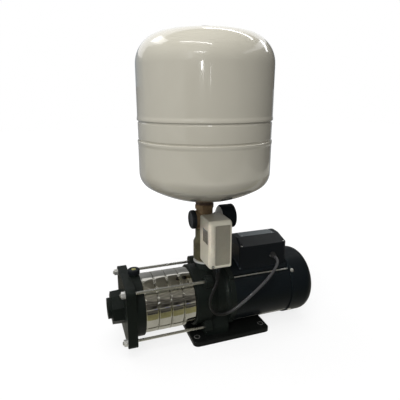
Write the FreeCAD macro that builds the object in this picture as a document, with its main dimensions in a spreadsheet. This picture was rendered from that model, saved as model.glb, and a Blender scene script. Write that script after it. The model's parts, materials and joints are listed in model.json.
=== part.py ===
import FreeCAD, Part
import math
import os
import re
import Sketcher

# Booster pump with pressure tank: a horizontal multistage pump on a foot plate, with its motor,
# and above its outlet a five-way fitting that carries a gauge, a pressure switch and the tank.
# Millimetres. The origin is on the ground under the axis of the outlet and the tank.
# +X runs along the shaft to the motor, -Y is the side of the pressure switch, +Z is up.

SIZES = {
    # clearances
    "fit_gap": 0.1,
    "run_gap": 0.4,
    # shaft line and stages
    "ground_gap": 1.5,
    "head_reach": 39.5,
    "stage_length": 28,
    "stage_count": 4,
    "ring_radius": 65,
    "ring_wall": 2,
    "ring_edge": 1.4,
    "nose_length": 3,
    "seal_cord": 0.9,
    # tie rods
    "rod_count": 4,
    "rod_floor": 4,
    "rod_offset": 55.8,
    "rod_radius": 4,
    "rod_stickout": 2.5,
    "rod_nut_flats": 13,
    "rod_nut_height": 6.5,
    "rod_washer_radius": 8,
    "rod_washer_height": 1.6,
    "lug_radius": 13.2,
    "lug_length": 16,
    # suction head
    "collar_radius": 69.5,
    "collar_length": 19.5,
    "chamber_radius": 60,
    "plate_length": 20,
    "boss_length": 25,
    "boss_flats": 68,
    "boss_taper": 3,
    "suction_radius": 22.5,
    "suction_reach": 8,
    "port_bore": 15.2,
    "suction_thread": 22,
    "fill_step": 8,
    "fill_height": 74,
    "fill_bore": 6.6,
    "fill_cap_radius": 13,
    "fill_cap_height": 10,
    "plug_thread": 12,
    "vent_radius": 5,
    "vent_bore": 3,
    "vent_head": 3,
    "vent_slot": 1.4,
    "drain_face": 72,
    "drain_radius": 9,
    "drain_bore": 5,
    "drain_flats": 14,
    "drain_height": 5,
    # discharge head
    "neck_radius": 62,
    "web_length": 10,
    "web_start": 18,
    "motor_reach": 50,
    "flange_length": 12,
    "flange_step": 0.5,
    "register_length": 4,
    "outlet_radius": 23,
    "outlet_rise": 81.5,
    "lug_inset": 4,
    "chamber_slope": 6,
    "flange_slope": 6,
    "bolt_floor": 3,
    "leg_start": 18,
    "leg_inner": 32,
    "leg_outer": 60,
    "leg_inset": 16,
    "leg_top": 38,
    "leg_top_width": 46,
    "leg_screw_front": -6,
    "leg_screw_back": 26,
    "leg_screw_offset": 47,
    # foot plate
    "foot_thickness": 10,
    "foot_front": 50,
    "foot_length": 186,
    "foot_margin": 1,
    "foot_corner": 12,
    "foot_bevel": 1.5,
    "foot_hole_radius": 5,
    "foot_hole_inset": 13,
    "foot_hole_offset": 55,
    "foot_screw_radius": 4,
    "foot_screw_head": 6.5,
    "foot_screw_sink": 5,
    "foot_screw_grip": 12,
    # shaft, seal and bearings
    "shaft_radius": 8,
    "shaft_nose": 10,
    "journal_radius": 8.5,
    "core_shaft_radius": 11,
    "fan_shaft_radius": 7,
    "bearing_radius": 20,
    "bearing_width": 12,
    "bearing_hub": 27,
    "outer_race": 3.6,
    "inner_race": 3,
    "shield_width": 0.8,
    "seal_radius": 14,
    "seal_seat_length": 8,
    "seal_head_length": 16,
    "seal_lip": 1.5,
    # impellers and diffusers
    "impeller_radius": 50,
    "impeller_width": 12,
    "impeller_offset": 3,
    "shroud_wall": 1.6,
    "eye_radius": 20,
    "eye_height": 3,
    "hub_radius": 11.5,
    "blade_count": 6,
    "blade_wall": 2,
    "blade_bend": 30,
    "blade_end": 40,
    "blade_sweep": 28,
    "diffuser_width": 9,
    "diffuser_wall": 2,
    "vane_count": 8,
    "vane_sweep": 20,
    # motor
    "shell_radius": 76.5,
    "shell_wall": 7,
    "shell_length": 140,
    "bolt_inset": 2.25,
    "bolt_radius": 2,
    "bolt_head_radius": 3.4,
    "bolt_head_height": 3,
    "bolt_groove": 4.5,
    "bolt_lug_radius": 6,
    "core_start": 28,
    "core_margin": 32,
    "stator_bore": 36.2,
    "air_gap": 0.5,
    "winding_length": 15,
    "winding_inner": 41,
    "winding_gap": 6.5,
    "shield_length": 12,
    "shield_step": 1.1,
    "shield_rib": 4,
    # fan and its cover
    "fan_clearance": 13,
    "fan_disc": 2.5,
    "fan_width": 20,
    "fan_hub": 13,
    "fan_blades": 7,
    "fan_gap": 6,
    "cover_step": 2.5,
    "cover_wall": 1.2,
    "cover_length": 65,
    "cover_round": 28,
    "slot_count": 16,
    "slot_width": 4,
    "slot_inner": 16,
    "slot_margin": 5,
    "cover_screw_step": 7,
    "cover_screw_radius": 1.6,
    "cover_screw_length": 6,
    "cover_screw_head": 3.8,
    "cover_screw_dome": 2.2,
    "cover_screw_angle": 40,
    # terminal box
    "box_start": 19.5,
    "box_gap": 2,
    "box_half_width": 43.5,
    "box_rise": 37.5,
    "box_wall": 3,
    "box_floor": 4,
    "box_corner": 5,
    "roof_height": 17.2,
    "roof_half_width": 15.1,
    "roof_inset": 4,
    "roof_rim": 4,
    "roof_wall": 2.5,
    "box_screw_inset": 5.5,
    "box_screw_radius": 1.5,
    "box_screw_head": 3,
    "box_post": 20,
    "plate_inset": 16,
    "label_half_width": 13.4,
    "label_thickness": 0.5,
    "capacitor_radius": 13,
    "capacitor_length": 62,
    "capacitor_start": 12,
    # cable and glands
    "cable_radius": 3.3,
    "gland_radius": 7.5,
    "gland_thread": 6,
    "gland_collar": 5,
    "motor_gland_reach": 6,
    "switch_gland_reach": 10,
    "motor_gland_along": 103,
    "motor_gland_rise": 13.5,
    # outlet valve and five-way fitting
    "washer_height": 3,
    "washer_radius": 25,
    "valve_radius": 25,
    "valve_neck": 20.5,
    "valve_bore": 12.5,
    "valve_chamber": 19.5,
    "valve_thread": 12,
    "valve_slope": 10,
    "valve_shoulder": 47,
    "valve_seat": 18,
    "disc_radius": 16.5,
    "disc_wall": 3,
    "disc_stem": 4,
    "disc_height": 16,
    "fitting_rise": 100.5,
    "fitting_radius": 18.5,
    "fitting_bore": 12.5,
    "fitting_below": 22,
    "fitting_above": 35,
    "fitting_thread": 12,
    "fitting_flats": 38,
    "fitting_hexagon": 9,
    "tank_thread": 12,
    "outlet_arm": 19.5,
    "outlet_arm_reach": 23,
    "outlet_thread": 15,
    "cap_radius": 21,
    "cap_depth": 7.5,
    "cap_round": 3,
    "cap_wall": 2.5,
    "side_arm": 9,
    "gauge_arm_reach": 24,
    "side_bore": 4,
    "side_thread": 10,
    # gauge
    "gauge_start": 36,
    "gauge_radius": 27,
    "gauge_depth": 32,
    "gauge_wall": 1.5,
    "stem_radius": 6,
    "stem_flats": 20,
    "stem_hexagon": 3,
    "stem_cone": 24,
    "dial_depth": 24,
    "dial_thickness": 0.8,
    "movement_height": 4,
    "pointer_length": 18,
    "pointer_width": 2,
    "pin_radius": 1.2,
    "pin_play": 0.3,
    "window_thickness": 2,
    # pressure switch
    "switch_left": 19.5,
    "switch_right": 31.5,
    "switch_back": 26,
    "switch_front": 84,
    "switch_above": 17,
    "switch_below": 86,
    "switch_slope": 30,
    "switch_lift": 12,
    "switch_wall": 2.2,
    "switch_chamfer": 4,
    "switch_round": 3,
    "switch_rim": 7,
    "switch_side_rim": 13.5,
    "switch_panel": 2.5,
    "window_near": 43,
    "window_far": 73,
    "window_low": 35,
    "window_high": 5,
    "switch_plate": 4,
    "sleeve_rise": 4,
    "sleeve_length": 12,
    "plunger_radius": 5,
    "plunger_length": 20,
    "block_length": 34,
    "block_height": 26,
    "block_rise": 18,
    "block_half_width": 14,
    "block_pitch": 9,
    "block_hole": 3,
    "switch_gland_out": 68,
    "switch_gland_along": 6,
    # tank
    "tank_rise": 45,
    "tank_radius": 140,
    "tank_wall": 1.5,
    "tank_height": 344,
    "top_crown": 518,
    "top_knuckle": 60,
    "low_crown": 236,
    "low_knuckle": 35,
    "band_low": 131.7,
    "band_high": 170.9,
    "band_lap": 6,
    "connector_radius": 19.7,
    "connector_thread": 16.4,
    "connector_bore": 11,
    "connector_flange": 27,
    "connector_rim": 3,
    "flange_wall": 3,
    "bag_gap": 4,
    "bag_low": 6,
    "bag_wall": 2,
    "bag_rim": 6,
    "stem_hole": 5,
    "stem_height": 2.5,
    "air_cap_radius": 18,
    "air_cap_height": 5.5,
}

# Places worked out from the sizes, each written as the text of an expression.
PLACES = {
    "shaft_height": "foot_thickness + shell_radius + ground_gap",
    "ring_end": "-head_reach",
    "ring_start": "ring_end - stage_count * stage_length",
    "ring_bore": "ring_radius - ring_wall",
    "nose_radius": "ring_bore - fit_gap",
    "suction_face": "ring_start - collar_length",
    "plate_end": "suction_face - plate_length",
    "boss_end": "plate_end - boss_length",
    "suction_end": "boss_end - suction_reach",
    "lug_face": "ring_end + collar_length",
    "lug_back": "lug_face + lug_length",
    "rod_circle": "rod_offset * sqrt(2)",
    "motor_face": "motor_reach",
    "flange_face": "motor_face - flange_length",
    "web_end": "web_start + web_length",
    "seat_face": "web_end - seal_seat_length",
    "front_bearing": "motor_face - bearing_width / 2",
    "shell_end": "motor_face + shell_length",
    "shield_end": "shell_end + shield_length",
    "rear_bearing": "shell_end",
    "shell_bore": "shell_radius - shell_wall",
    "flange_radius": "shell_radius + flange_step",
    "shield_radius": "shell_radius + shield_step",
    "cover_radius": "shell_radius + cover_step",
    "fan_radius": "cover_radius - fan_clearance",
    "slot_outer": "cover_radius - cover_round - slot_margin",
    "winding_outer": "shell_bore - winding_gap",
    "core_length": "shell_length - core_start - core_margin",
    "bolt_circle": "shell_radius - bolt_inset",
    "bolt_offset": "bolt_circle / sqrt(2)",
    "fan_start": "shield_end + fan_gap",
    "fan_end": "fan_start + fan_width",
    "cover_start": "shell_end + 1",
    "cover_end": "cover_start + cover_length",
    "core_face": "motor_face + core_start",
    "core_back": "core_face + core_length",
    "register_radius": "shell_bore - fit_gap",
    "foot_top": "foot_thickness - shaft_height",
    "foot_half": "flange_radius + foot_margin",
    "foot_start": "-foot_front",
    "foot_end": "foot_length - foot_front",
    "box_face": "motor_face + box_start",
    "box_length": "shell_length - box_start - box_gap",
    "box_back": "box_face + box_length",
    "box_seam": "shell_radius + box_rise",
    "label_length": "box_length - 2 * plate_inset",
    "box_bottom": "sqrt(shell_radius ^ 2 - box_half_width ^ 2) - 6",
    "roof_top": "box_seam + roof_height",
    "port_top": "shaft_height + outlet_rise",
    "fitting_level": "port_top + fitting_rise",
    "tank_base": "fitting_level + tank_rise",
    "tank_top": "tank_height",
    "hoop_radius": "tank_radius - tank_wall - fit_gap",
    "gauge_end": "gauge_start + gauge_depth",
    "dial_back": "gauge_start + dial_depth",
    "fill_place": "suction_face + fill_step",
    "fill_radius": "collar_length - fill_step - run_gap",
    "rod_start": "plate_end - rod_washer_height - rod_nut_height - rod_stickout",
    "rod_end": "lug_back - rod_floor - fit_gap",
    "cover_screw_place": "shell_end + cover_screw_step",
    "motor_gland_place": "motor_face + motor_gland_along",
    "motor_gland_level": "shell_radius + motor_gland_rise",
    "valve_top": "fitting_rise - fitting_below",
    "sleeve_start": "switch_back + side_thread + sleeve_rise",
    "sleeve_end": "sleeve_start + sleeve_length",
    "bag_level": "(band_low + band_high) / 2",
    "stem_start": "gauge_arm_reach + fit_gap",
}

doc = FreeCAD.newDocument("booster_pump")
sheet = doc.addObject("Spreadsheet::Sheet", "Sizes")
for row, (alias, number) in enumerate(SIZES.items(), start=1):
    sheet.set(f"A{row}", alias)
    sheet.set(f"B{row}", str(number))
    sheet.setAlias(f"B{row}", alias)
doc.recompute()

parts = []


def expression(text):
    """Write out the places in a text and point its words at the sheet."""
    def spell(match):
        word = match.group(0)
        if word in PLACES:
            return "(" + expression(PLACES[word]) + ")"
        if word in SIZES:
            return "Sizes." + word
        return word
    return re.sub(r"[a-z][a-z_]*", spell, text)


def value(text):
    """Work out a text in millimetres."""
    return float(sheet.evalExpression(expression(text)))


def bind(thing, path, text):
    """Bind one property to the sheet."""
    thing.setExpression(path, expression(text))


def new_part(label, kind="PartDesign::Body", height=None):
    """Start a sub-part, its own origin lifted to the given height."""
    thing = doc.addObject(kind, label)
    thing.Label = label
    if height is not None:
        bind(thing, "Placement.Base.z", height)
    parts.append(thing)
    return thing


def origin_item(body, role):
    """Find one plane or axis of a body's origin."""
    return [item for item in body.Origin.OriginFeatures if item.Role == role][0]


def new_sketch(body, role, lift=None, turn=0):
    """Attach a sketch to an origin plane, lifted along its normal and turned about it."""
    sketch = body.newObject("Sketcher::SketchObject", "Sketch")
    sketch.AttachmentSupport = [(origin_item(body, role), "")]
    sketch.MapMode = "FlatFace"
    sketch.AttachmentOffset = FreeCAD.Placement(
        FreeCAD.Vector(0, 0, 0), FreeCAD.Rotation(FreeCAD.Vector(0, 0, 1), turn))
    if lift is not None:
        bind(sketch, "AttachmentOffset.Base.z", lift)
    return sketch


def hold(sketch, kind, where, text):
    """Add one sized constraint and bind it to the sheet."""
    index = sketch.addConstraint(Sketcher.Constraint(kind, *where, value(text)))
    bind(sketch, f"Constraints[{index}]", text)


def arc_between(start, end, radius):
    """Make the short arc from start to end, its centre on the left for a positive radius."""
    chord = end - start
    half = chord.Length / 2
    reach = math.sqrt(max(radius * radius - half * half, 0))
    side = FreeCAD.Vector(-chord.y, chord.x, 0).normalize()
    centre = (start + end) / 2 + side * math.copysign(reach, radius)
    first, last = (start, end) if radius > 0 else (end, start)
    low = math.atan2(first.y - centre.y, first.x - centre.x)
    high = math.atan2(last.y - centre.y, last.x - centre.x)
    if high < low:
        high += 2 * math.pi
    circle = Part.Circle(centre, FreeCAD.Vector(0, 0, 1), abs(radius))
    return Part.ArcOfCircle(circle, low, high)


def add_outline(sketch, points):
    """Draw a closed outline through places; a third text on a place bends the line after it."""
    spots = [FreeCAD.Vector(value(point[0]), value(point[1]), 0) for point in points]
    ends = []
    for index, point in enumerate(points):
        start = spots[index]
        end = spots[(index + 1) % len(points)]
        if len(point) == 3:
            radius = value(point[2])
            geometry = sketch.addGeometry(arc_between(start, end, radius))
            ends.append((geometry, 1, 2) if radius > 0 else (geometry, 2, 1))
        else:
            geometry = sketch.addGeometry(Part.LineSegment(start, end))
            ends.append((geometry, 1, 2))
    for index, (geometry, first, last) in enumerate(ends):
        following, near, far = ends[(index + 1) % len(ends)]
        sketch.addConstraint(Sketcher.Constraint("Coincident", geometry, last, following, near))
    for point, (geometry, first, last) in zip(points, ends):
        hold(sketch, "DistanceX", (-1, 1, geometry, first), point[0])
        hold(sketch, "DistanceY", (-1, 1, geometry, first), point[1])
        if len(point) == 3:
            hold(sketch, "Radius", (geometry,), f"abs({point[2]})")
    return sketch


def add_circle(sketch, across, up, radius):
    """Draw a circle with its centre held from the origin."""
    centre = FreeCAD.Vector(value(across), value(up), 0)
    circle = Part.Circle(centre, FreeCAD.Vector(0, 0, 1), value(radius))
    geometry = sketch.addGeometry(circle)
    hold(sketch, "DistanceX", (-1, 1, geometry, 3), across)
    hold(sketch, "DistanceY", (-1, 1, geometry, 3), up)
    hold(sketch, "Radius", (geometry,), radius)
    return sketch


def rectangle(low_x, low_y, high_x, high_y):
    """List the corners of a rectangle."""
    return [(low_x, low_y), (high_x, low_y), (high_x, high_y), (low_x, high_y)]


def hexagon(flats, along="0", up="0"):
    """List the corners of a hexagon of the given width across flats."""
    corners = []
    for step in range(6):
        angle = math.radians(60 * step)
        across_text = f"{along} + {math.cos(angle):.6f} * ({flats}) / sqrt(3)"
        up_text = f"{up} + {math.sin(angle):.6f} * ({flats}) / sqrt(3)"
        corners.append((across_text, up_text))
    return corners


def add_pad(body, sketch, length, reverse=False, middle=False, taper=None):
    """Pad a sketch by a length."""
    pad = body.newObject("PartDesign::Pad", "Pad")
    pad.Profile = sketch
    bind(pad, "Length", length)
    pad.Reversed = reverse
    pad.Midplane = middle
    if taper is not None:
        bind(pad, "TaperAngle", taper)
    return pad


def add_pocket(body, sketch, length, reverse=False, middle=False):
    """Cut a sketch to a depth, against its normal unless reversed."""
    pocket = body.newObject("PartDesign::Pocket", "Pocket")
    pocket.Profile = sketch
    bind(pocket, "Length", length)
    pocket.Reversed = reverse
    pocket.Midplane = middle
    return pocket


def add_turning(body, sketch, axis="H_Axis", cut=False):
    """Turn a sketch all the way round one of its axes, adding or cutting."""
    kind = "PartDesign::Groove" if cut else "PartDesign::Revolution"
    turning = body.newObject(kind, "Turning")
    turning.Profile = sketch
    turning.ReferenceAxis = (sketch, [axis])
    turning.Angle = 360
    return turning


def add_ring_pattern(body, features, axis, count):
    """Repeat features round an axis of the body and make the pattern its tip."""
    pattern = body.newObject("PartDesign::PolarPattern", "Pattern")
    pattern.Originals = features
    pattern.Axis = (origin_item(body, axis), [""])
    pattern.Angle = 360
    bind(pattern, "Occurrences", count)
    body.Tip = pattern
    return pattern


def add_rounding(body, base, radius, wanted, kind="PartDesign::Fillet"):
    """Round or bevel the edges of a feature that a test picks."""
    doc.recompute()
    names = [f"Edge{number}" for number, edge in enumerate(base.Shape.Edges, start=1) if wanted(edge)]
    rounding = body.newObject(kind, "Rounding")
    rounding.Base = (base, names)
    bind(rounding, "Radius" if kind.endswith("Fillet") else "Size", radius)
    return rounding


def turned(label, height, points, role="XY_Plane", axis="H_Axis"):
    """Make a sub-part that is one turned outline."""
    body = new_part(label, height=height)
    add_turning(body, add_outline(new_sketch(body, role), points), axis)
    return body


def upright(label, height, points):
    """Make a sub-part turned about the upright axis, its outline in radius and height."""
    return turned(label, height, points, "XZ_Plane", "V_Axis")


def group(label, tools, height=None):
    """Gather alike solids in one sub-part."""
    doc.recompute()
    thing = doc.addObject("Part::Compound", label)
    thing.Label = label
    thing.Links = tools
    if height is not None:
        bind(thing, "Placement.Base.z", height)
    parts.append(thing)
    return thing


# Stage rings: thin polished rings, each with a nose that centres it in the next one.

def make_stage_ring(number):
    """Make one stage ring in its place along the shaft."""
    body = new_part(f"stage_ring_{number}", height="shaft_height")
    bind(body, "Placement.Base.x", f"ring_start + {number - 1} * stage_length")
    add_turning(body, add_outline(new_sketch(body, "XY_Plane"), [
        ("0", "ring_bore"),
        ("0", "ring_radius - ring_edge"),
        ("ring_edge", "ring_radius"),
        ("stage_length - ring_edge", "ring_radius"),
        ("stage_length", "ring_radius - ring_edge"),
        ("stage_length", "nose_radius"),
        ("stage_length + nose_length", "nose_radius"),
        ("stage_length + nose_length", "nose_radius - ring_wall"),
        ("stage_length - nose_length", "nose_radius - ring_wall"),
        ("stage_length - nose_length", "ring_bore"),
    ]))


# Diffusers: one still disc with guide vanes behind each impeller, seated in its ring.

def make_diffuser(number):
    """Make one diffuser in its place along the shaft."""
    body = doc.addObject("PartDesign::Body", f"diffuser_{number}")
    bind(body, "Placement.Base.x", f"ring_start + {number} * stage_length - diffuser_width - nose_length")
    bind(body, "Placement.Base.z", "shaft_height")
    rim = "ring_bore - fit_gap"
    add_turning(body, add_outline(new_sketch(body, "XY_Plane"), [
        ("0 - fit_gap", "hub_radius + run_gap"),
        ("0 - fit_gap", rim),
        ("diffuser_width - fit_gap", rim),
        ("diffuser_width - fit_gap", f"{rim} - diffuser_wall"),
        ("diffuser_wall", f"{rim} - diffuser_wall"),
        ("diffuser_wall", "hub_radius + run_gap"),
    ]))
    vane = add_pad(body, add_outline(new_sketch(body, "YZ_Plane", lift="diffuser_wall / 2"), [
        ("eye_radius", "0"),
        ("impeller_radius", "vane_sweep"),
        ("impeller_radius", "vane_sweep + blade_wall"),
        ("eye_radius", "blade_wall"),
    ]), "diffuser_width - diffuser_wall")
    add_ring_pattern(body, [vane], "X_Axis", "vane_count")
    return body


# Impellers: closed wheels with swept blades between two shrouds, hub against hub on the shaft.

def make_impeller(number):
    """Make one impeller in its place along the shaft."""
    body = doc.addObject("PartDesign::Body", f"impeller_{number}")
    bind(body, "Placement.Base.x", f"ring_start + impeller_offset + {number - 1} * stage_length")
    bind(body, "Placement.Base.z", "shaft_height")
    add_turning(body, add_outline(new_sketch(body, "XY_Plane"), [
        ("eye_height", "shaft_radius + fit_gap"),
        ("eye_height", "hub_radius"),
        ("impeller_width - shroud_wall", "hub_radius"),
        ("impeller_width - shroud_wall", "impeller_radius"),
        ("impeller_width", "impeller_radius"),
        ("impeller_width", "hub_radius"),
        ("eye_height + stage_length - fit_gap", "hub_radius"),
        ("eye_height + stage_length - fit_gap", "shaft_radius + fit_gap"),
    ]))
    blade = add_pad(body, add_outline(new_sketch(body, "YZ_Plane", lift="eye_height + shroud_wall / 2"), [
        ("hub_radius - blade_wall / 2", "0", "0 - blade_bend"),
        ("blade_end", "blade_sweep"),
        ("blade_end - blade_wall", "blade_sweep + blade_wall / 2", "blade_bend + blade_wall"),
        ("hub_radius - blade_wall / 2", "blade_wall"),
    ]), "impeller_width - eye_height - shroud_wall")
    add_ring_pattern(body, [blade], "X_Axis", "blade_count")
    add_turning(body, add_outline(new_sketch(body, "XY_Plane"), [
        ("0", "eye_radius - shroud_wall"),
        ("0", "eye_radius"),
        ("eye_height", "eye_radius"),
        ("eye_height", "impeller_radius"),
        ("eye_height + shroud_wall", "impeller_radius"),
        ("eye_height + shroud_wall", "eye_radius - shroud_wall"),
    ]))
    return body


stages = range(1, int(value("stage_count")) + 1)
for stage in stages:
    make_stage_ring(stage)
group("diffusers", [make_diffuser(stage) for stage in stages])
group("impellers", [make_impeller(stage) for stage in stages])


# Chamber seals: one rubber ring at each joint of the stage stack.

def make_chamber_seal(number):
    """Make one sealing ring against the nose of its joint."""
    body = doc.addObject("PartDesign::Body", f"chamber_seal_{number}")
    bind(body, "Placement.Base.x", f"ring_start + {number} * stage_length + nose_length + fit_gap")
    bind(body, "Placement.Base.z", "shaft_height")
    add_turning(body, add_outline(new_sketch(body, "XY_Plane"), rectangle(
        "0", "ring_bore - ring_wall", "seal_cord", "ring_bore - fit_gap")))
    return body


group("chamber_seals", [make_chamber_seal(number) for number in range(0, int(value("stage_count")) + 1)])


# Suction head: a flanged casting with the inlet port, the filling boss and four rod lugs.

def rounded_square(half, corner):
    """List the outline of a centred square with round corners."""
    flat = f"{half} - {corner}"
    return [
        (f"0 - ({flat})", f"0 - ({half})"), (flat, f"0 - ({half})", corner),
        (half, f"0 - ({flat})"), (half, flat, corner),
        (flat, half), (f"0 - ({flat})", half, corner),
        (f"0 - ({half})", flat), (f"0 - ({half})", f"0 - ({flat})", corner),
    ]


def rounded_rectangle(low_x, low_y, high_x, high_y, corner):
    """List the outline of a rectangle with round corners."""
    return [
        (f"{low_x} + {corner}", low_y), (f"{high_x} - {corner}", low_y, corner),
        (high_x, f"{low_y} + {corner}"), (high_x, f"{high_y} - {corner}", corner),
        (f"{high_x} - {corner}", high_y), (f"{low_x} + {corner}", high_y, corner),
        (low_x, f"{high_y} - {corner}"), (low_x, f"{low_y} + {corner}", corner),
    ]


def octagon(flats):
    """List the corners of an upright octagon of the given width across flats."""
    half = f"{flats} / 2"
    short = f"{flats} / 2 * tan(22.5 deg)"
    return [
        (f"0 - {short}", f"0 - {half}"), (short, f"0 - {half}"),
        (half, f"0 - {short}"), (half, short),
        (short, half), (f"0 - {short}", half),
        (f"0 - {half}", short), (f"0 - {half}", f"0 - {short}"),
    ]


def bore_for_rods(body, face, depth):
    """Drill the four rod holes from a face against +X."""
    hole = add_pocket(body, add_circle(
        new_sketch(body, "YZ_Plane", lift=face), "rod_offset", "rod_offset", "rod_radius + fit_gap"), depth)
    add_ring_pattern(body, [hole], "X_Axis", "rod_count")


suction = new_part("suction_head", height="shaft_height")
add_pad(suction, add_outline(new_sketch(suction, "YZ_Plane", lift="plate_end"),
                             rounded_square("rod_offset + lug_radius", "lug_radius")), "plate_length")
add_turning(suction, add_outline(new_sketch(suction, "XY_Plane"), [
    ("suction_face - ring_edge", "0"),
    ("suction_face - ring_edge", "collar_radius"),
    ("ring_start - ring_edge", "collar_radius"),
    ("ring_start", "collar_radius - ring_edge"),
    ("ring_start", "ring_bore - run_gap"),
    ("ring_start + nose_length", "ring_bore - run_gap"),
    ("ring_start + nose_length", "0"),
]))
add_pad(suction, add_outline(new_sketch(suction, "YZ_Plane", lift="plate_end"), octagon("boss_flats")),
        "boss_length", reverse=True, taper="0 - boss_taper")
add_pad(suction, add_circle(new_sketch(suction, "YZ_Plane", lift="boss_end"), "0", "0", "suction_radius"),
        "suction_reach", reverse=True)
add_pad(suction, add_circle(new_sketch(suction, "XY_Plane", lift="fill_height"), "fill_place", "0",
                            "fill_radius"), "fill_height - chamber_radius", reverse=True)
add_pad(suction, add_circle(new_sketch(suction, "XY_Plane", lift="0 - drain_face"), "fill_place", "0",
                            "drain_radius"), "drain_face - chamber_radius")
add_turning(suction, add_outline(new_sketch(suction, "XY_Plane"), [
    ("suction_end - 1", "0"),
    ("suction_end - 1", "port_bore"),
    ("suction_end + suction_thread", "port_bore"),
    ("suction_end + suction_thread", "port_bore - 2"),
    ("plate_end + plate_length / 3", "port_bore - 2"),
    ("suction_face", "chamber_radius"),
    ("ring_start + nose_length + 1", "chamber_radius"),
    ("ring_start + nose_length + 1", "0"),
]), cut=True)
add_pocket(suction, add_circle(new_sketch(suction, "XY_Plane", lift="fill_height + 1"), "fill_place", "0",
                               "fill_bore"), "fill_height / 2")
add_pocket(suction, add_circle(new_sketch(suction, "XY_Plane", lift="0 - drain_face - 1"), "fill_place", "0",
                               "drain_bore"), "drain_face / 2", reverse=True)
bore_for_rods(suction, "suction_face + 1", "plate_length + 2")

plug = new_part("fill_plug", height="shaft_height + fill_height")
bind(plug, "Placement.Base.x", "fill_place")
add_turning(plug, add_outline(new_sketch(plug, "XZ_Plane"), [
    ("vent_bore", "0 - plug_thread"),
    ("fill_bore - fit_gap", "0 - plug_thread"),
    ("fill_bore - fit_gap", "0"),
    ("fill_cap_radius", "0"),
    ("fill_cap_radius", "fill_cap_height - ring_edge"),
    ("fill_cap_radius - ring_edge", "fill_cap_height"),
    ("vent_radius + run_gap", "fill_cap_height"),
    ("vent_radius + run_gap", "fill_cap_height - vent_head"),
    ("vent_bore", "fill_cap_height - vent_head"),
]), "V_Axis")

vent = new_part("vent_screw", height="shaft_height + fill_height + fill_cap_height - vent_head")
bind(vent, "Placement.Base.x", "fill_place")
add_turning(vent, add_outline(new_sketch(vent, "XZ_Plane"), [
    ("0", "0 - plug_thread"),
    ("vent_bore - fit_gap", "0 - plug_thread"),
    ("vent_bore - fit_gap", "0"),
    ("vent_radius", "0"),
    ("vent_radius", "vent_head"),
    ("vent_radius / 2", "vent_head + ring_edge / 2"),
    ("0", "vent_head + ring_edge / 2"),
]), "V_Axis")
add_pocket(vent, add_outline(new_sketch(vent, "XY_Plane", lift="vent_head + ring_edge"), rectangle(
    "0 - vent_radius - 1", "0 - vent_slot / 2", "vent_radius + 1", "vent_slot / 2")), "vent_head / 2")

drain = new_part("drain_plug", height="shaft_height - drain_face")
bind(drain, "Placement.Base.x", "fill_place")
add_pad(drain, add_outline(new_sketch(drain, "XY_Plane"), hexagon("drain_flats")), "drain_height",
        reverse=True)
add_pad(drain, add_circle(new_sketch(drain, "XY_Plane"), "0", "0", "drain_bore - fit_gap"), "plug_thread / 2")


# Tie rods: four threaded rods that clamp the stage rings between the two heads.

def corners():
    """Give the signs of the four rods or bolts about the shaft."""
    return [(across, up) for across in (-1, 1) for up in (-1, 1)]


def lay_along_shaft(thing, start, across, up, offset):
    """Lay a primitive made along +Z along +X, at one of the four corners."""
    thing.Placement = FreeCAD.Placement(
        FreeCAD.Vector(0, 0, 0), FreeCAD.Rotation(FreeCAD.Vector(0, 1, 0), 90))
    bind(thing, "Placement.Base.x", start)
    bind(thing, "Placement.Base.y", f"{across} * {offset}")
    bind(thing, "Placement.Base.z", f"shaft_height + {up} * {offset}")
    return thing


def cylinder(name, radius, length):
    """Make a cylinder primitive."""
    thing = doc.addObject("Part::Cylinder", name)
    bind(thing, "Radius", radius)
    bind(thing, "Height", length)
    return thing


def prism(name, flats, length):
    """Make a hexagonal primitive."""
    thing = doc.addObject("Part::Prism", name)
    thing.Polygon = 6
    bind(thing, "Circumradius", f"{flats} / sqrt(3)")
    bind(thing, "Height", length)
    return thing


def combine(kind, name, base, tool):
    """Cut or fuse two primitives."""
    thing = doc.addObject(kind, name)
    thing.Base = base
    thing.Tool = tool
    return thing


def make_rod(across, up):
    """Make one rod."""
    rod = cylinder("rod", "rod_radius", "rod_end - rod_start")
    return lay_along_shaft(rod, "rod_start", across, up, "rod_offset")


def make_rod_nut(across, up):
    """Make one flanged nut against the suction head."""
    nut = lay_along_shaft(prism("nut", "rod_nut_flats", "rod_nut_height + rod_washer_height"),
                          "plate_end - rod_washer_height - rod_nut_height", across, up, "rod_offset")
    flange = lay_along_shaft(cylinder("flange", "rod_washer_radius", "rod_washer_height"),
                             "plate_end - rod_washer_height", across, up, "rod_offset")
    bore = lay_along_shaft(cylinder("bore", "rod_radius + fit_gap", "4 * rod_nut_height"),
                           "plate_end - 2 * rod_nut_height", across, up, "rod_offset")
    return combine("Part::Cut", "rod_nut", combine("Part::Fuse", "nut_body", nut, flange), bore)


group("tie_rods", [make_rod(*corner) for corner in corners()])
group("tie_rod_nuts", [make_rod_nut(*corner) for corner in corners()])


# Discharge head: collar, rod lugs, outlet boss, motor flange and the two legs, in one casting.

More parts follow.
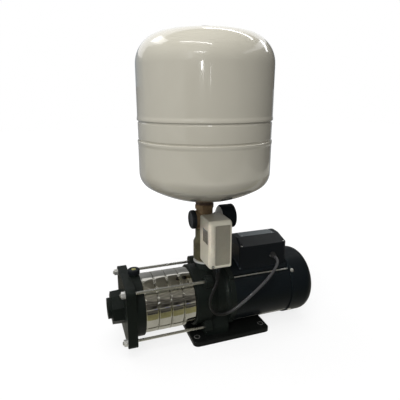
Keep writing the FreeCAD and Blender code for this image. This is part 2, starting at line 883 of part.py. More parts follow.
head = new_part("discharge_head", height="shaft_height")
add_turning(head, add_outline(new_sketch(head, "XY_Plane"), [
    ("ring_end", "0"),
    ("ring_end", "collar_radius - ring_edge"),
    ("ring_end + ring_edge", "collar_radius"),
    ("lug_back", "collar_radius"),
    ("lug_back + lug_length", "neck_radius"),
    ("flange_face - flange_slope", "neck_radius"),
    ("flange_face", "flange_radius - flange_slope / 2"),
    ("flange_face", "flange_radius"),
    ("motor_face", "flange_radius"),
    ("motor_face", "register_radius"),
    ("motor_face + register_length", "register_radius"),
    ("motor_face + register_length", "bearing_hub"),
    ("front_bearing + bearing_width", "bearing_hub"),
    ("front_bearing + bearing_width", "0"),
]))
lug_root = add_pad(head, add_outline(new_sketch(head, "YZ_Plane", lift="lug_face", turn=45), rectangle(
    "chamber_radius + lug_inset", "0 - lug_radius", "rod_circle", "lug_radius")), "lug_length")
lug_tip = add_pad(head, add_circle(new_sketch(head, "YZ_Plane", lift="lug_face", turn=45),
                                   "rod_circle", "0", "lug_radius"), "lug_length")
add_ring_pattern(head, [lug_root, lug_tip], "X_Axis", "rod_count")
bolt_lug = add_pad(head, add_circle(new_sketch(head, "YZ_Plane", lift="flange_face", turn=45),
                                    "bolt_circle", "0", "bolt_lug_radius"), "flange_length")
add_ring_pattern(head, [bolt_lug], "X_Axis", "rod_count")
add_pad(head, add_circle(new_sketch(head, "XY_Plane", lift="outlet_rise"), "0", "0", "outlet_radius"),
        "outlet_rise - chamber_radius + lug_inset", reverse=True)
for side in (-1, 1):
    leg = [
        (f"{side} * leg_inner", "foot_top"),
        (f"{side} * leg_outer", "foot_top"),
        (f"{side} * leg_outer", "foot_top + leg_inset"),
        (f"{side} * leg_top_width", "0 - leg_top"),
        (f"{side} * leg_inner", "0 - leg_top"),
    ]
    add_pad(head, add_outline(new_sketch(head, "YZ_Plane", lift="0 - leg_start"), leg),
            "flange_face + leg_start")
add_turning(head, add_outline(new_sketch(head, "XY_Plane"), [
    ("ring_end - 1", "0"),
    ("ring_end - 1", "ring_bore"),
    ("ring_end + nose_length + seal_cord + 2 * fit_gap", "ring_bore"),
    ("ring_end + nose_length + seal_cord + 2 * fit_gap", "chamber_radius"),
    ("web_start - chamber_slope", "chamber_radius"),
    ("web_start", "chamber_radius - chamber_slope"),
    ("web_start", "seal_radius + fit_gap"),
    ("seat_face + seal_seat_length + fit_gap", "seal_radius + fit_gap"),
    ("seat_face + seal_seat_length + fit_gap", "shaft_radius + run_gap"),
    ("front_bearing - seal_lip", "shaft_radius + run_gap"),
    ("front_bearing - seal_lip", "bearing_radius - outer_race"),
    ("front_bearing", "bearing_radius - outer_race"),
    ("front_bearing", "bearing_radius"),
    ("front_bearing + bearing_width + 1", "bearing_radius"),
    ("front_bearing + bearing_width + 1", "0"),
]), cut=True)
add_turning(head, add_outline(new_sketch(head, "XY_Plane"), [
    ("web_end", "bearing_hub"),
    ("web_end", "chamber_radius - chamber_slope"),
    ("flange_face", "chamber_radius"),
    ("motor_face + register_length + 1", "chamber_radius"),
    ("motor_face + register_length + 1", "bearing_hub"),
]), cut=True)
add_pocket(head, add_circle(new_sketch(head, "XY_Plane", lift="outlet_rise + 1"), "0", "0", "port_bore"),
           "outlet_rise / 2")
bore_for_rods(head, "lug_back - rod_floor", "lug_length + 1")
bolt_hole = add_pocket(head, add_circle(new_sketch(head, "YZ_Plane", lift="motor_face + 1"),
                                        "bolt_offset", "bolt_offset", "bolt_radius + fit_gap"),
                       "flange_length - bolt_floor + 1")
add_ring_pattern(head, [bolt_hole], "X_Axis", "rod_count")
for across in (-1, 1):
    for along in ("leg_screw_front", "leg_screw_back"):
        add_pocket(head, add_circle(new_sketch(head, "XY_Plane", lift="foot_top - 1"), along,
                                    f"{across} * leg_screw_offset", "foot_screw_radius + fit_gap"),
                   "foot_screw_grip + 2", reverse=True)


# Foot plate: a flat plate with four mounting holes, screwed to the legs from below.

foot = new_part("foot_plate")
plate_pad = add_pad(foot, add_outline(new_sketch(foot, "XY_Plane"), rounded_rectangle(
    "foot_start", "0 - foot_half", "foot_end", "foot_half", "foot_corner")), "foot_thickness")
add_rounding(foot, plate_pad, "foot_bevel",
             lambda edge: edge.BoundBox.ZMin > value("foot_thickness") - 0.01, "PartDesign::Chamfer")
for across in (-1, 1):
    for along in ("foot_start + foot_hole_inset", "foot_end - foot_hole_inset"):
        add_pocket(foot, add_circle(new_sketch(foot, "XY_Plane", lift="foot_thickness + 1"), along,
                                    f"{across} * foot_hole_offset", "foot_hole_radius"), "foot_thickness + 2")
    for along in ("leg_screw_front", "leg_screw_back"):
        add_pocket(foot, add_circle(new_sketch(foot, "XY_Plane", lift="foot_thickness + 1"), along,
                                    f"{across} * leg_screw_offset", "foot_screw_radius + fit_gap"),
                   "foot_thickness + 2")
        add_pocket(foot, add_circle(new_sketch(foot, "XY_Plane", lift="foot_screw_sink"), along,
                                    f"{across} * leg_screw_offset", "foot_screw_head + fit_gap"),
                   "foot_screw_sink + 1")


def make_foot_screw(across, along):
    """Make one screw from the underside of the foot plate into a leg."""
    shank = cylinder("shank", "foot_screw_radius",
                     "foot_thickness + foot_screw_grip - foot_screw_sink / 2")
    cap = cylinder("cap", "foot_screw_head", "foot_screw_sink / 2")
    for piece, start in ((shank, "foot_screw_sink / 2"), (cap, "foot_screw_sink / 2")):
        bind(piece, "Placement.Base.x", along)
        bind(piece, "Placement.Base.y", f"{across} * leg_screw_offset")
        bind(piece, "Placement.Base.z", start)
    return combine("Part::Fuse", "foot_screw", shank, cap)


group("foot_screws", [make_foot_screw(across, along) for across in (-1, 1)
                      for along in ("leg_screw_front", "leg_screw_back")])


# Shaft line: the motor shaft runs on into the pump and carries the impellers.

turned("pump_shaft", "shaft_height", [
    ("ring_start - shaft_nose", "0"),
    ("ring_start - shaft_nose", "shaft_radius - ring_edge"),
    ("ring_start - shaft_nose + ring_edge", "shaft_radius"),
    ("front_bearing", "shaft_radius"),
    ("front_bearing", "journal_radius"),
    ("front_bearing + bearing_width", "journal_radius"),
    ("front_bearing + bearing_width", "core_shaft_radius"),
    ("rear_bearing", "core_shaft_radius"),
    ("rear_bearing", "journal_radius"),
    ("rear_bearing + bearing_width", "journal_radius"),
    ("rear_bearing + bearing_width", "fan_shaft_radius"),
    ("fan_end + ring_edge", "fan_shaft_radius"),
    ("fan_end + ring_edge", "0"),
])

turned("seal_head", "shaft_height", [
    ("seat_face - run_gap - seal_head_length", "shaft_radius + fit_gap"),
    ("seat_face - run_gap - seal_head_length", "seal_radius - 2 * seal_lip"),
    ("seat_face - run_gap - 4 * seal_lip", "seal_radius - 2 * seal_lip"),
    ("seat_face - run_gap - 3 * seal_lip", "seal_radius - seal_lip"),
    ("seat_face - run_gap", "seal_radius - seal_lip"),
    ("seat_face - run_gap", "shaft_radius + fit_gap"),
])
turned("seal_seat", "shaft_height", rectangle(
    "seat_face", "shaft_radius + run_gap", "seat_face + seal_seat_length", "seal_radius"))


def make_outer_ring(start):
    """Make the still half of a bearing: the outer ring with its two shields."""
    body = doc.addObject("PartDesign::Body", "outer_ring")
    bind(body, "Placement.Base.x", start)
    bind(body, "Placement.Base.z", "shaft_height")
    lip = "journal_radius + inner_race + run_gap"
    add_turning(body, add_outline(new_sketch(body, "XY_Plane"), [
        ("0", lip), ("0", "bearing_radius - fit_gap"),
        ("bearing_width", "bearing_radius - fit_gap"), ("bearing_width", lip),
        ("bearing_width - shield_width", lip),
        ("bearing_width - shield_width", "bearing_radius - outer_race"),
        ("shield_width", "bearing_radius - outer_race"), ("shield_width", lip),
    ]))
    return body


def make_inner_ring(start):
    """Make the turning half of a bearing."""
    body = doc.addObject("PartDesign::Body", "inner_ring")
    bind(body, "Placement.Base.x", start)
    bind(body, "Placement.Base.z", "shaft_height")
    add_turning(body, add_outline(new_sketch(body, "XY_Plane"), rectangle(
        "0", "journal_radius + fit_gap / 2", "bearing_width", "journal_radius + inner_race")))
    return body


group("bearing_outer_rings", [make_outer_ring(start) for start in ("front_bearing", "rear_bearing")])
group("bearing_inner_rings", [make_inner_ring(start) for start in ("front_bearing", "rear_bearing")])


# Motor: a smooth shell with four bolt grooves, the still core and windings, the turning core.

shell = turned("motor_shell", "shaft_height", rectangle(
    "motor_face", "shell_bore", "shell_end", "shell_radius"))
groove = add_pocket(shell, add_circle(
    new_sketch(shell, "YZ_Plane", lift="shell_end + 1", turn=45), "bolt_circle + bolt_radius", "0",
    "bolt_groove"), "shell_length + 2")
add_ring_pattern(shell, [groove], "X_Axis", "rod_count")

turned("stator_core", "shaft_height", rectangle(
    "core_face", "stator_bore", "core_back", "shell_bore - fit_gap"))
turned("rotor_core", "shaft_height", rectangle(
    "core_face", "core_shaft_radius + fit_gap / 2", "core_back", "stator_bore - air_gap"))


def make_winding(start, end):
    """Make one rounded end turn of the winding."""
    body = doc.addObject("PartDesign::Body", "end_turn")
    bind(body, "Placement.Base.z", "shaft_height")
    add_turning(body, add_outline(new_sketch(body, "XY_Plane"), [
        (start, "winding_inner"),
        (start, "winding_outer"),
        (f"{start} + 0.6 * ({end} - ({start}))", "winding_outer"),
        (end, "0.7 * winding_outer + 0.3 * winding_inner"),
        (end, "0.3 * winding_outer + 0.7 * winding_inner"),
        (f"{start} + 0.6 * ({end} - ({start}))", "winding_inner"),
    ]))
    return body


group("stator_windings", [make_winding("core_face", "core_face - winding_length"),
                          make_winding("core_back", "core_back + winding_length")])

rear = turned("rear_shield", "shaft_height", [
    ("shell_end - register_length", "register_radius - shield_rib"),
    ("shell_end - register_length", "register_radius"),
    ("shell_end", "register_radius"),
    ("shell_end", "shield_radius"),
    ("shield_end", "shield_radius"),
    ("shield_end", "register_radius - shield_rib"),
    ("shield_end - shield_rib", "register_radius - 2 * shield_rib"),
    ("shield_end - shield_rib", "bearing_hub"),
    ("shield_end + shield_rib / 2", "bearing_hub"),
    ("shield_end + shield_rib / 2", "journal_radius + run_gap"),
    ("rear_bearing + bearing_width", "journal_radius + run_gap"),
    ("rear_bearing + bearing_width", "bearing_radius"),
    ("rear_bearing - ring_edge", "bearing_radius"),
    ("rear_bearing - ring_edge", "bearing_hub"),
    ("shell_end", "bearing_hub + ring_edge"),
    ("shell_end", "register_radius - 2 * shield_rib"),
])
bolt_hole = add_pocket(rear, add_circle(new_sketch(rear, "YZ_Plane", lift="shield_end + 1"),
                                        "bolt_offset", "bolt_offset", "bolt_radius + fit_gap"),
                       "shield_length + 2")
add_ring_pattern(rear, [bolt_hole], "X_Axis", "rod_count")


def make_motor_bolt(across, up):
    """Make one through bolt, its head behind the rear shield."""
    bolt = cylinder("bolt", "bolt_radius", "shield_end - flange_face - bolt_floor - fit_gap")
    lay_along_shaft(bolt, "flange_face + bolt_floor + fit_gap", across, up, "bolt_offset")
    cap = cylinder("bolt_head", "bolt_head_radius", "bolt_head_height")
    lay_along_shaft(cap, "shield_end", across, up, "bolt_offset")
    return combine("Part::Fuse", "motor_bolt", bolt, cap)


group("motor_bolts", [make_motor_bolt(*corner) for corner in corners()])


# Fan and fan cover at the back of the motor.

fan = turned("fan", "shaft_height", [
    ("fan_start", "fan_shaft_radius + fit_gap / 2"),
    ("fan_start", "fan_radius"),
    ("fan_start + fan_disc", "fan_radius"),
    ("fan_start + fan_disc", "fan_hub"),
    ("fan_end", "fan_hub"),
    ("fan_end", "fan_shaft_radius + fit_gap / 2"),
])
fan_blade = add_pad(fan, add_outline(new_sketch(fan, "YZ_Plane", lift="fan_start"), rectangle(
    "fan_hub - 1", "0 - blade_wall / 2", "fan_radius - 1", "blade_wall / 2")), "fan_width")
add_ring_pattern(fan, [fan_blade], "X_Axis", "fan_blades")

screw_turns = [round(side + turn * value("cover_screw_angle"), 3) for side in (90, 270) for turn in (-1, 1)]


def tilted_sketch(body, lift, tilt):
    """Attach a sketch whose normal leans from +Z towards -Y by an angle about the shaft."""
    sketch = new_sketch(body, "XY_Plane")
    lean = FreeCAD.Rotation(FreeCAD.Vector(1, 0, 0), tilt)
    sketch.AttachmentOffset = FreeCAD.Placement(FreeCAD.Vector(0, 0, 0), lean)
    across = math.sin(math.radians(tilt))
    up = math.cos(math.radians(tilt))
    bind(sketch, "AttachmentOffset.Base.y", f"{-across:.9f} * ({lift})")
    bind(sketch, "AttachmentOffset.Base.z", f"{up:.9f} * ({lift})")
    return sketch


for tilt in screw_turns:
    add_pocket(rear, add_circle(tilted_sketch(rear, "cover_radius", tilt), "cover_screw_place", "0",
                                "cover_screw_radius + fit_gap"), "cover_screw_length + fit_gap")

cover = turned("fan_cover", "shaft_height", [
    ("cover_start", "cover_radius - cover_wall"),
    ("cover_start", "cover_radius"),
    ("cover_end - cover_round", "cover_radius", "0 - cover_round"),
    ("cover_end", "cover_radius - cover_round"),
    ("cover_end", "0"),
    ("cover_end - cover_wall", "0"),
    ("cover_end - cover_wall", "cover_radius - cover_round", "cover_round - cover_wall"),
    ("cover_end - cover_round", "cover_radius - cover_wall"),
])
slot = add_pocket(cover, add_outline(new_sketch(cover, "YZ_Plane", lift="cover_end + 1"), rectangle(
    "slot_inner", "0 - slot_width / 2", "slot_outer", "slot_width / 2")), "cover_wall + 2")
add_ring_pattern(cover, [slot], "X_Axis", "slot_count")
for tilt in screw_turns:
    add_pocket(cover, add_circle(tilted_sketch(cover, "cover_radius + 1", tilt), "cover_screw_place", "0",
                                 "cover_screw_radius + fit_gap"), "cover_wall + 2")


def make_cover_screw(tilt):
    """Make one dome screw that holds the fan cover."""
    body = doc.addObject("PartDesign::Body", "cover_screw")
    across = math.sin(math.radians(tilt))
    up = math.cos(math.radians(tilt))
    body.Placement = FreeCAD.Placement(
        FreeCAD.Vector(0, 0, 0), FreeCAD.Rotation(FreeCAD.Vector(1, 0, 0), tilt))
    bind(body, "Placement.Base.x", "cover_screw_place")
    bind(body, "Placement.Base.y", f"{-across:.9f} * (cover_radius + fit_gap)")
    bind(body, "Placement.Base.z", f"shaft_height + {up:.9f} * (cover_radius + fit_gap)")
    add_turning(body, add_outline(new_sketch(body, "XZ_Plane"), [
        ("0", "0 - cover_screw_length"),
        ("cover_screw_radius", "0 - cover_screw_length"),
        ("cover_screw_radius", "0"),
        ("cover_screw_head", "0"),
        ("cover_screw_head", "0.4 * cover_screw_dome"),
        ("0.6 * cover_screw_head", "0.9 * cover_screw_dome"),
        ("0", "cover_screw_dome"),
    ]), "V_Axis")
    return body


group("fan_cover_screws", [make_cover_screw(tilt) for tilt in screw_turns])


# Terminal box: a base saddled on the shell, and a roof-shaped cover with the rating plate.

box = new_part("terminal_box", height="shaft_height")
add_pad(box, add_outline(new_sketch(box, "XY_Plane", lift="box_bottom"), rounded_rectangle(
    "box_face", "0 - box_half_width", "box_back", "box_half_width", "box_corner")), "box_seam - (box_bottom)")
add_pocket(box, add_outline(new_sketch(box, "XY_Plane", lift="box_seam"), rectangle(
    "box_face + box_wall", "box_wall - box_half_width", "box_back - box_wall", "box_half_width - box_wall")),
    "box_seam - shell_radius - box_floor")
add_turning(box, add_outline(new_sketch(box, "XY_Plane"), rectangle(
    "box_face - 1", "0", "box_back + 1", "shell_radius + fit_gap")), cut=True)
add_pocket(box, add_circle(new_sketch(box, "XZ_Plane", lift="box_half_width + 1"), "motor_gland_place",
                           "motor_gland_level", "gland_thread + fit_gap"), "box_wall + 2")

roof = new_part("terminal_box_cover", height="shaft_height")


def roof_outline(level, inset, half, wall):
    """Draw one level of the roof."""
    return add_outline(new_sketch(roof, "XY_Plane", lift=level), rounded_rectangle(
        f"box_face + {inset} + {wall}", f"{wall} - ({half})", f"box_back - ({inset}) - {wall}",
        f"{half} - ({wall})", "box_corner"))


def add_loft(kind, low, high):
    """Loft between two outlines, adding or cutting."""
    loft = roof.newObject(kind, "Loft")
    loft.Profile = low
    loft.Sections = [high]
    loft.Ruled = True
    return loft


add_pad(roof, roof_outline("box_seam", "0", "box_half_width", "0"), "roof_rim")
add_loft("PartDesign::AdditiveLoft",
         roof_outline("box_seam + roof_rim", "0", "box_half_width", "0"),
         roof_outline("roof_top", "roof_inset", "roof_half_width", "0"))
add_loft("PartDesign::SubtractiveLoft",
         roof_outline("box_seam", "0", "box_half_width", "roof_wall"),
         roof_outline("roof_top - roof_wall", "roof_inset", "roof_half_width", "roof_wall"))

screw_spots = [(along, across) for along in ("box_face + box_screw_inset", "box_back - box_screw_inset")
               for across in (-1, 1)]
for along, across in screw_spots:
    spot = (along, f"{across} * (box_half_width - box_screw_inset)")
    add_pocket(roof, add_circle(new_sketch(roof, "XY_Plane", lift="roof_top"), *spot,
                                "box_screw_head + run_gap"), "roof_top - box_seam - roof_rim")
    add_pocket(roof, add_circle(new_sketch(roof, "XY_Plane", lift="roof_top"), *spot,
                                "box_screw_radius + fit_gap"), "roof_top - box_seam + 1")
    post = add_pad(box, add_circle(new_sketch(box, "XY_Plane", lift="box_seam"), *spot,
                                   "box_screw_inset - fit_gap"), "box_post", reverse=True)
    add_pocket(box, add_circle(new_sketch(box, "XY_Plane", lift="box_seam + 1"), *spot,
                               "box_screw_radius + fit_gap"), "box_post - 1")


def make_box_screw(along, across):
    """Make one screw of the terminal box cover."""
    shank = cylinder("shank", "box_screw_radius", "box_post - box_screw_head + roof_rim")
    cap = cylinder("cap", "box_screw_head", "box_screw_head / 2")
    for piece, start in ((shank, "box_seam - box_post + box_screw_head"), (cap, "box_seam + roof_rim")):
        bind(piece, "Placement.Base.x", along)
        bind(piece, "Placement.Base.y", f"{across} * (box_half_width - box_screw_inset)")
        bind(piece, "Placement.Base.z", f"shaft_height + {start}")
    return combine("Part::Fuse", "box_screw", shank, cap)


group("terminal_box_screws", [make_box_screw(*spot) for spot in screw_spots])

label = new_part("rating_plate", height="shaft_height + roof_top")
add_pad(label, add_outline(new_sketch(label, "XY_Plane"), rectangle(
    "box_face + plate_inset", "0 - label_half_width", "box_face + plate_inset + label_length",
    "label_half_width")), "label_thickness")

capacitor = turned("capacitor", "shaft_height + shell_radius + box_floor + capacitor_radius + fit_gap", [
    ("0", "0"),
    ("0", "capacitor_radius - ring_edge"),
    ("ring_edge", "capacitor_radius"),
    ("capacitor_length", "capacitor_radius"),
    ("capacitor_length", "0"),
])
bind(capacitor, "Placement.Base.x", "box_face + box_wall + capacitor_start")
bind(capacitor, "Placement.Base.y", "capacitor_radius")


# Glands and cable between the terminal box and the pressure switch.

motor_gland = new_part("motor_gland", height="shaft_height + motor_gland_level")
bind(motor_gland, "Placement.Base.x", "motor_gland_place")
bind(motor_gland, "Placement.Base.y", "0 - box_half_width")
add_turning(motor_gland, add_outline(new_sketch(motor_gland, "YZ_Plane"), [
    ("box_wall + 1", "0"),
    ("box_wall + 1", "gland_thread"),
    ("0", "gland_thread"),
    ("0", "gland_radius"),
    ("0 - motor_gland_reach / 2", "gland_radius"),
    ("0 - motor_gland_reach", "cable_radius + 1"),
    ("0 - motor_gland_reach", "0"),
]))
switch_gland = new_part("switch_gland", height="fitting_level - switch_below")
bind(switch_gland, "Placement.Base.x", "switch_gland_along")
bind(switch_gland, "Placement.Base.y", "0 - switch_gland_out")
add_turning(switch_gland, add_outline(new_sketch(switch_gland, "XZ_Plane"), [
    ("0", "switch_wall + 1"),
    ("gland_thread", "switch_wall + 1"),
    ("gland_thread", "0"),
    ("gland_radius", "0"),
    ("gland_radius", "0 - gland_collar"),
    ("gland_radius - 1", "0 - gland_collar"),
    ("gland_radius - 1.5", "gland_collar / 2 - switch_gland_reach"),
    ("cable_radius + 1", "0 - switch_gland_reach"),
    ("0", "0 - switch_gland_reach"),
]), "V_Axis")

# Route of the cable between the ends of its two glands: it hangs in a loop before the motor.
CABLE_ROUTE = [
    (153, -72.5, 178),
    (146, -86, 163.5),
    (123, -88, 150),
    (97, -89, 128),
    (70, -90, 107),
    (44, -91, 88),
    (20, -92, 77),
    (-3, -91, 79),
    (-18, -89, 97),
    (-19, -86, 119),
    (-7, -81, 136),
    (6, -68, 150),
]


def cable_points():
    """List the cable's points from the motor gland to the switch gland."""
    start = FreeCAD.Vector(value("motor_gland_place"), value("0 - box_half_width - motor_gland_reach"),
                           value("shaft_height + motor_gland_level"))
    end = FreeCAD.Vector(value("switch_gland_along"), value("0 - switch_gland_out"),
                         value("fitting_level - switch_below - switch_gland_reach"))
    return [start] + [FreeCAD.Vector(*point) for point in CABLE_ROUTE] + [end]


def rounded_path(points):
    """Join straight runs by arcs as large as the runs allow, and print the radii."""
    edges = []
    radii = []
    last = points[0]
    for before, corner, after in zip(points, points[1:], points[2:]):
        inward = (corner - before).normalize()
        outward = (after - corner).normalize()
        half_turn = inward.getAngle(outward) / 2
        reach = 0.45 * min((corner - before).Length, (after - corner).Length)
        radii.append(reach / math.tan(half_turn))
        first = corner - inward * reach
        final = corner + outward * reach
        towards = (outward - inward).normalize()
        depth = radii[-1] * (1 / math.cos(half_turn) - 1)
        edges.append(Part.LineSegment(last, first).toShape())
        edges.append(Part.Arc(first, corner + towards * depth, final).toShape())
        last = final
    edges.append(Part.LineSegment(last, points[-1]).toShape())
    print("cable radii", [round(radius) for radius in radii])
    return Part.Wire(edges)


def make_cable():
    """Sweep the cable along its route."""
    path = rounded_path(cable_points())
    start = path.Vertexes[0].Point
    heading = (cable_points()[1] - start).normalize()
    section = Part.Wire([Part.Circle(start, heading, value("cable_radius")).toShape()])
    solid = path.makePipeShell([section], True, True)
    expected = math.pi * value("cable_radius") ** 2 * path.Length
    print("cable length", round(path.Length), "volume ratio", round(solid.Volume / expected, 4))
    cable = doc.addObject("Part::Feature", "switch_cable")
    cable.Label = "switch_cable"
    cable.Shape = solid
    parts.append(cable)


# Outlet valve: a brass check valve screwed into the outlet boss, with its sprung disc.

upright("port_washer", "port_top", rectangle(
    "outlet_thread + fit_gap", "0", "washer_radius", "washer_height"))
valve = upright("check_valve_body", "port_top", [
    ("valve_bore", "0 - valve_thread"),
    ("outlet_thread", "0 - valve_thread"),
    ("outlet_thread", "washer_height"),
    ("valve_neck", "washer_height"),
    ("valve_radius", "washer_height + valve_slope / 2"),
    ("valve_radius", "valve_shoulder"),
    ("valve_neck", "valve_shoulder + valve_slope"),
    ("valve_neck", "valve_top"),
    ("outlet_thread + fit_gap", "valve_top"),
    ("outlet_thread + fit_gap", "valve_top - fitting_thread - fit_gap"),
    ("valve_bore", "valve_top - fitting_thread - fit_gap"),
    ("valve_bore", "valve_shoulder + valve_slope / 2"),
    ("valve_chamber", "valve_shoulder"),
    ("valve_chamber", "valve_seat"),
    ("valve_bore", "valve_seat - ring_edge"),
])
upright("check_valve_disc", "port_top + valve_seat + run_gap", [
    ("0", "0 - ring_edge"),
    ("valve_bore - 1", "0 - ring_edge"),
    ("valve_bore - 1", "0"),
    ("disc_radius", "0"),
    ("disc_radius", "disc_wall"),
    ("disc_stem", "disc_wall"),
    ("disc_stem", "disc_height"),
    ("0", "disc_height"),
])


# Five-way fitting: brass body with the valve below, the tank above and three side arms.

fitting = upright("five_way_fitting", "fitting_level", [
    ("0", "0 - fitting_below - fitting_thread"),
    ("outlet_thread", "0 - fitting_below - fitting_thread"),
    ("outlet_thread", "0 - fitting_below"),
    ("fitting_radius - ring_edge", "0 - fitting_below"),
    ("fitting_radius", "ring_edge - fitting_below"),
    ("fitting_radius", "fitting_above - ring_edge"),
    ("fitting_radius - ring_edge", "fitting_above"),
    ("0", "fitting_above"),
])
add_pad(fitting, add_outline(new_sketch(fitting, "XY_Plane", lift="fitting_above - ring_edge"),
                             hexagon("fitting_flats")), "fitting_hexagon", reverse=True)
add_pad(fitting, add_circle(new_sketch(fitting, "YZ_Plane"), "0", "0", "outlet_arm"),
        "outlet_arm_reach", reverse=True)
add_pad(fitting, add_circle(new_sketch(fitting, "YZ_Plane"), "0", "0", "outlet_thread"),
        "outlet_arm_reach + cap_depth - fit_gap", reverse=True)
add_pad(fitting, add_circle(new_sketch(fitting, "YZ_Plane"), "0", "0", "side_arm"), "gauge_arm_reach")
add_pad(fitting, add_circle(new_sketch(fitting, "XZ_Plane"), "0", "0", "side_arm"), "switch_back - fit_gap")
add_pad(fitting, add_circle(new_sketch(fitting, "XZ_Plane"), "0", "0", "stem_radius"),
        "switch_back + side_thread")
add_turning(fitting, add_outline(new_sketch(fitting, "XZ_Plane"), [
    ("0", "0 - fitting_below - fitting_thread - 1"),
    ("fitting_bore", "0 - fitting_below - fitting_thread - 1"),
    ("fitting_bore", "fitting_above - tank_thread"),
    ("connector_thread + fit_gap", "fitting_above - tank_thread"),
    ("connector_thread + fit_gap", "fitting_above + 1"),
    ("0", "fitting_above + 1"),
]), "V_Axis", cut=True)
add_turning(fitting, add_outline(new_sketch(fitting, "XY_Plane"), [
    ("0 - outlet_arm_reach - cap_depth - 1", "0"),
    ("0 - outlet_arm_reach - cap_depth - 1", "fitting_bore"),
    ("0", "fitting_bore"),
    ("0", "side_bore"),
    ("gauge_arm_reach - side_thread", "side_bore"),
    ("gauge_arm_reach - side_thread", "stem_radius + fit_gap"),
    ("gauge_arm_reach + 1", "stem_radius + fit_gap"),
    ("gauge_arm_reach + 1", "0"),
]), cut=True)
add_pocket(fitting, add_circle(new_sketch(fitting, "XZ_Plane", lift="switch_back + side_thread + 1"),
                               "0", "0", "side_bore"), "switch_back + side_thread + 1")

turned("outlet_cap", "fitting_level", [
    ("0 - outlet_arm_reach - fit_gap", "outlet_thread + run_gap"),
    ("0 - outlet_arm_reach - fit_gap", "cap_radius"),
    ("cap_round - outlet_arm_reach - cap_depth - cap_wall", "cap_radius", "cap_round"),
    ("0 - outlet_arm_reach - cap_depth - cap_wall", "cap_radius - cap_round"),
    ("0 - outlet_arm_reach - cap_depth - cap_wall", "0"),
    ("0 - outlet_arm_reach - cap_depth", "0"),
    ("0 - outlet_arm_reach - cap_depth", "outlet_thread + run_gap"),
])


# Pressure gauge, entered from the back, its face towards +X.

stem = turned("gauge_stem", "fitting_level", [
    ("stem_start - side_thread", "0"),
    ("stem_start - side_thread", "stem_radius"),
    ("stem_start + stem_hexagon", "stem_radius"),
    ("stem_start + stem_hexagon", "stem_flats / 2"),
    ("gauge_start - fit_gap", "stem_cone"),
    ("gauge_start - fit_gap", "stem_radius"),
    ("gauge_start + gauge_wall", "stem_radius"),
    ("gauge_start + gauge_wall", "0"),
])
add_pad(stem, add_outline(new_sketch(stem, "YZ_Plane", lift="stem_start"), hexagon("stem_flats")),
        "stem_hexagon + fit_gap")
turned("gauge_case", "fitting_level", [
    ("gauge_start", "stem_radius + fit_gap"),
    ("gauge_start", "gauge_radius - 2 * gauge_wall"),
    ("gauge_start + 2 * gauge_wall", "gauge_radius"),
    ("gauge_end - gauge_wall", "gauge_radius"),
    ("gauge_end", "gauge_radius - gauge_wall / 2"),
    ("gauge_end", "gauge_radius - 2 * gauge_wall"),
    ("gauge_end - gauge_wall", "gauge_radius - 2 * gauge_wall"),
    ("gauge_end - gauge_wall", "gauge_radius - gauge_wall"),
    ("dial_back", "gauge_radius - gauge_wall"),
    ("dial_back - movement_height", "gauge_radius - 3 * gauge_wall"),
    ("gauge_start + 2 * gauge_wall", "gauge_radius - 3 * gauge_wall"),
    ("gauge_start + 2 * gauge_wall", "stem_radius + 2"),
    ("dial_back", "stem_radius + 2"),
    ("dial_back", "pin_radius + pin_play"),
    ("gauge_start + 2 * gauge_wall", "pin_radius + pin_play"),
    ("gauge_start + 2 * gauge_wall", "0"),
    ("gauge_start + gauge_wall + fit_gap", "0"),
    ("gauge_start + gauge_wall + fit_gap", "stem_radius + fit_gap"),
])
turned("gauge_dial", "fitting_level", rectangle(
    "dial_back + fit_gap / 2", "pin_radius + run_gap", "dial_back + dial_thickness",
    "gauge_radius - gauge_wall - fit_gap"))
turned("gauge_window", "fitting_level", rectangle(
    "gauge_end - gauge_wall - window_thickness - fit_gap / 2", "0", "gauge_end - gauge_wall - fit_gap / 2",
    "gauge_radius - gauge_wall - fit_gap"))
pointer = turned("gauge_pointer", "fitting_level", [
    ("gauge_start + 2 * gauge_wall + run_gap", "0"),
    ("gauge_start + 2 * gauge_wall + run_gap", "pin_radius"),
    ("dial_back + dial_thickness + run_gap", "pin_radius"),
    ("dial_back + dial_thickness + run_gap", "2 * pin_radius"),
    ("dial_back + dial_thickness + run_gap + pointer_width", "2 * pin_radius"),
    ("dial_back + dial_thickness + run_gap + pointer_width", "0"),
])
add_pad(pointer, add_outline(
    new_sketch(pointer, "YZ_Plane", lift="dial_back + dial_thickness + run_gap", turn=225), [
        ("0 - pointer_length / 3", "0 - pointer_width"),
        ("pointer_length", "0 - pointer_width / 5"),
        ("pointer_length", "pointer_width / 5"),
        ("0 - pointer_length / 3", "pointer_width"),
    ]), "pointer_width / 2")


# Pressure switch: base with its guide sleeve, moulded cover, window, plunger and contact block.

hood = new_part("switch_cover", height="fitting_level")
hood_pad = add_pad(hood, add_outline(new_sketch(hood, "XY_Plane", lift="0 - switch_below"), [
    ("0 - switch_left", "0 - switch_back"),
    ("0 - switch_left", "switch_chamfer - switch_front"),
    ("switch_chamfer - switch_left", "0 - switch_front"),
    ("switch_right - switch_chamfer", "0 - switch_front"),
    ("switch_right", "switch_chamfer - switch_front"),
    ("switch_right", "0 - switch_back"),
]), "switch_below + switch_above")
add_rounding(hood, hood_pad, "switch_round", lambda edge: (
    edge.BoundBox.ZMin > value("switch_above") - 0.01 and edge.BoundBox.YMin < -value("switch_back") - 1))
add_pocket(hood, add_outline(new_sketch(hood, "YZ_Plane", lift="0 - switch_left - 1"), [
    ("1 - switch_back", "0 - switch_below - 1"),
    ("1 - switch_back", "switch_lift - switch_below"),
    ("0 - switch_back", "switch_lift - switch_below"),
    ("0 - switch_back - switch_slope", "0 - switch_below"),
    ("0 - switch_back - switch_slope", "0 - switch_below - 1"),
]), "switch_left + switch_right + 2", reverse=True)
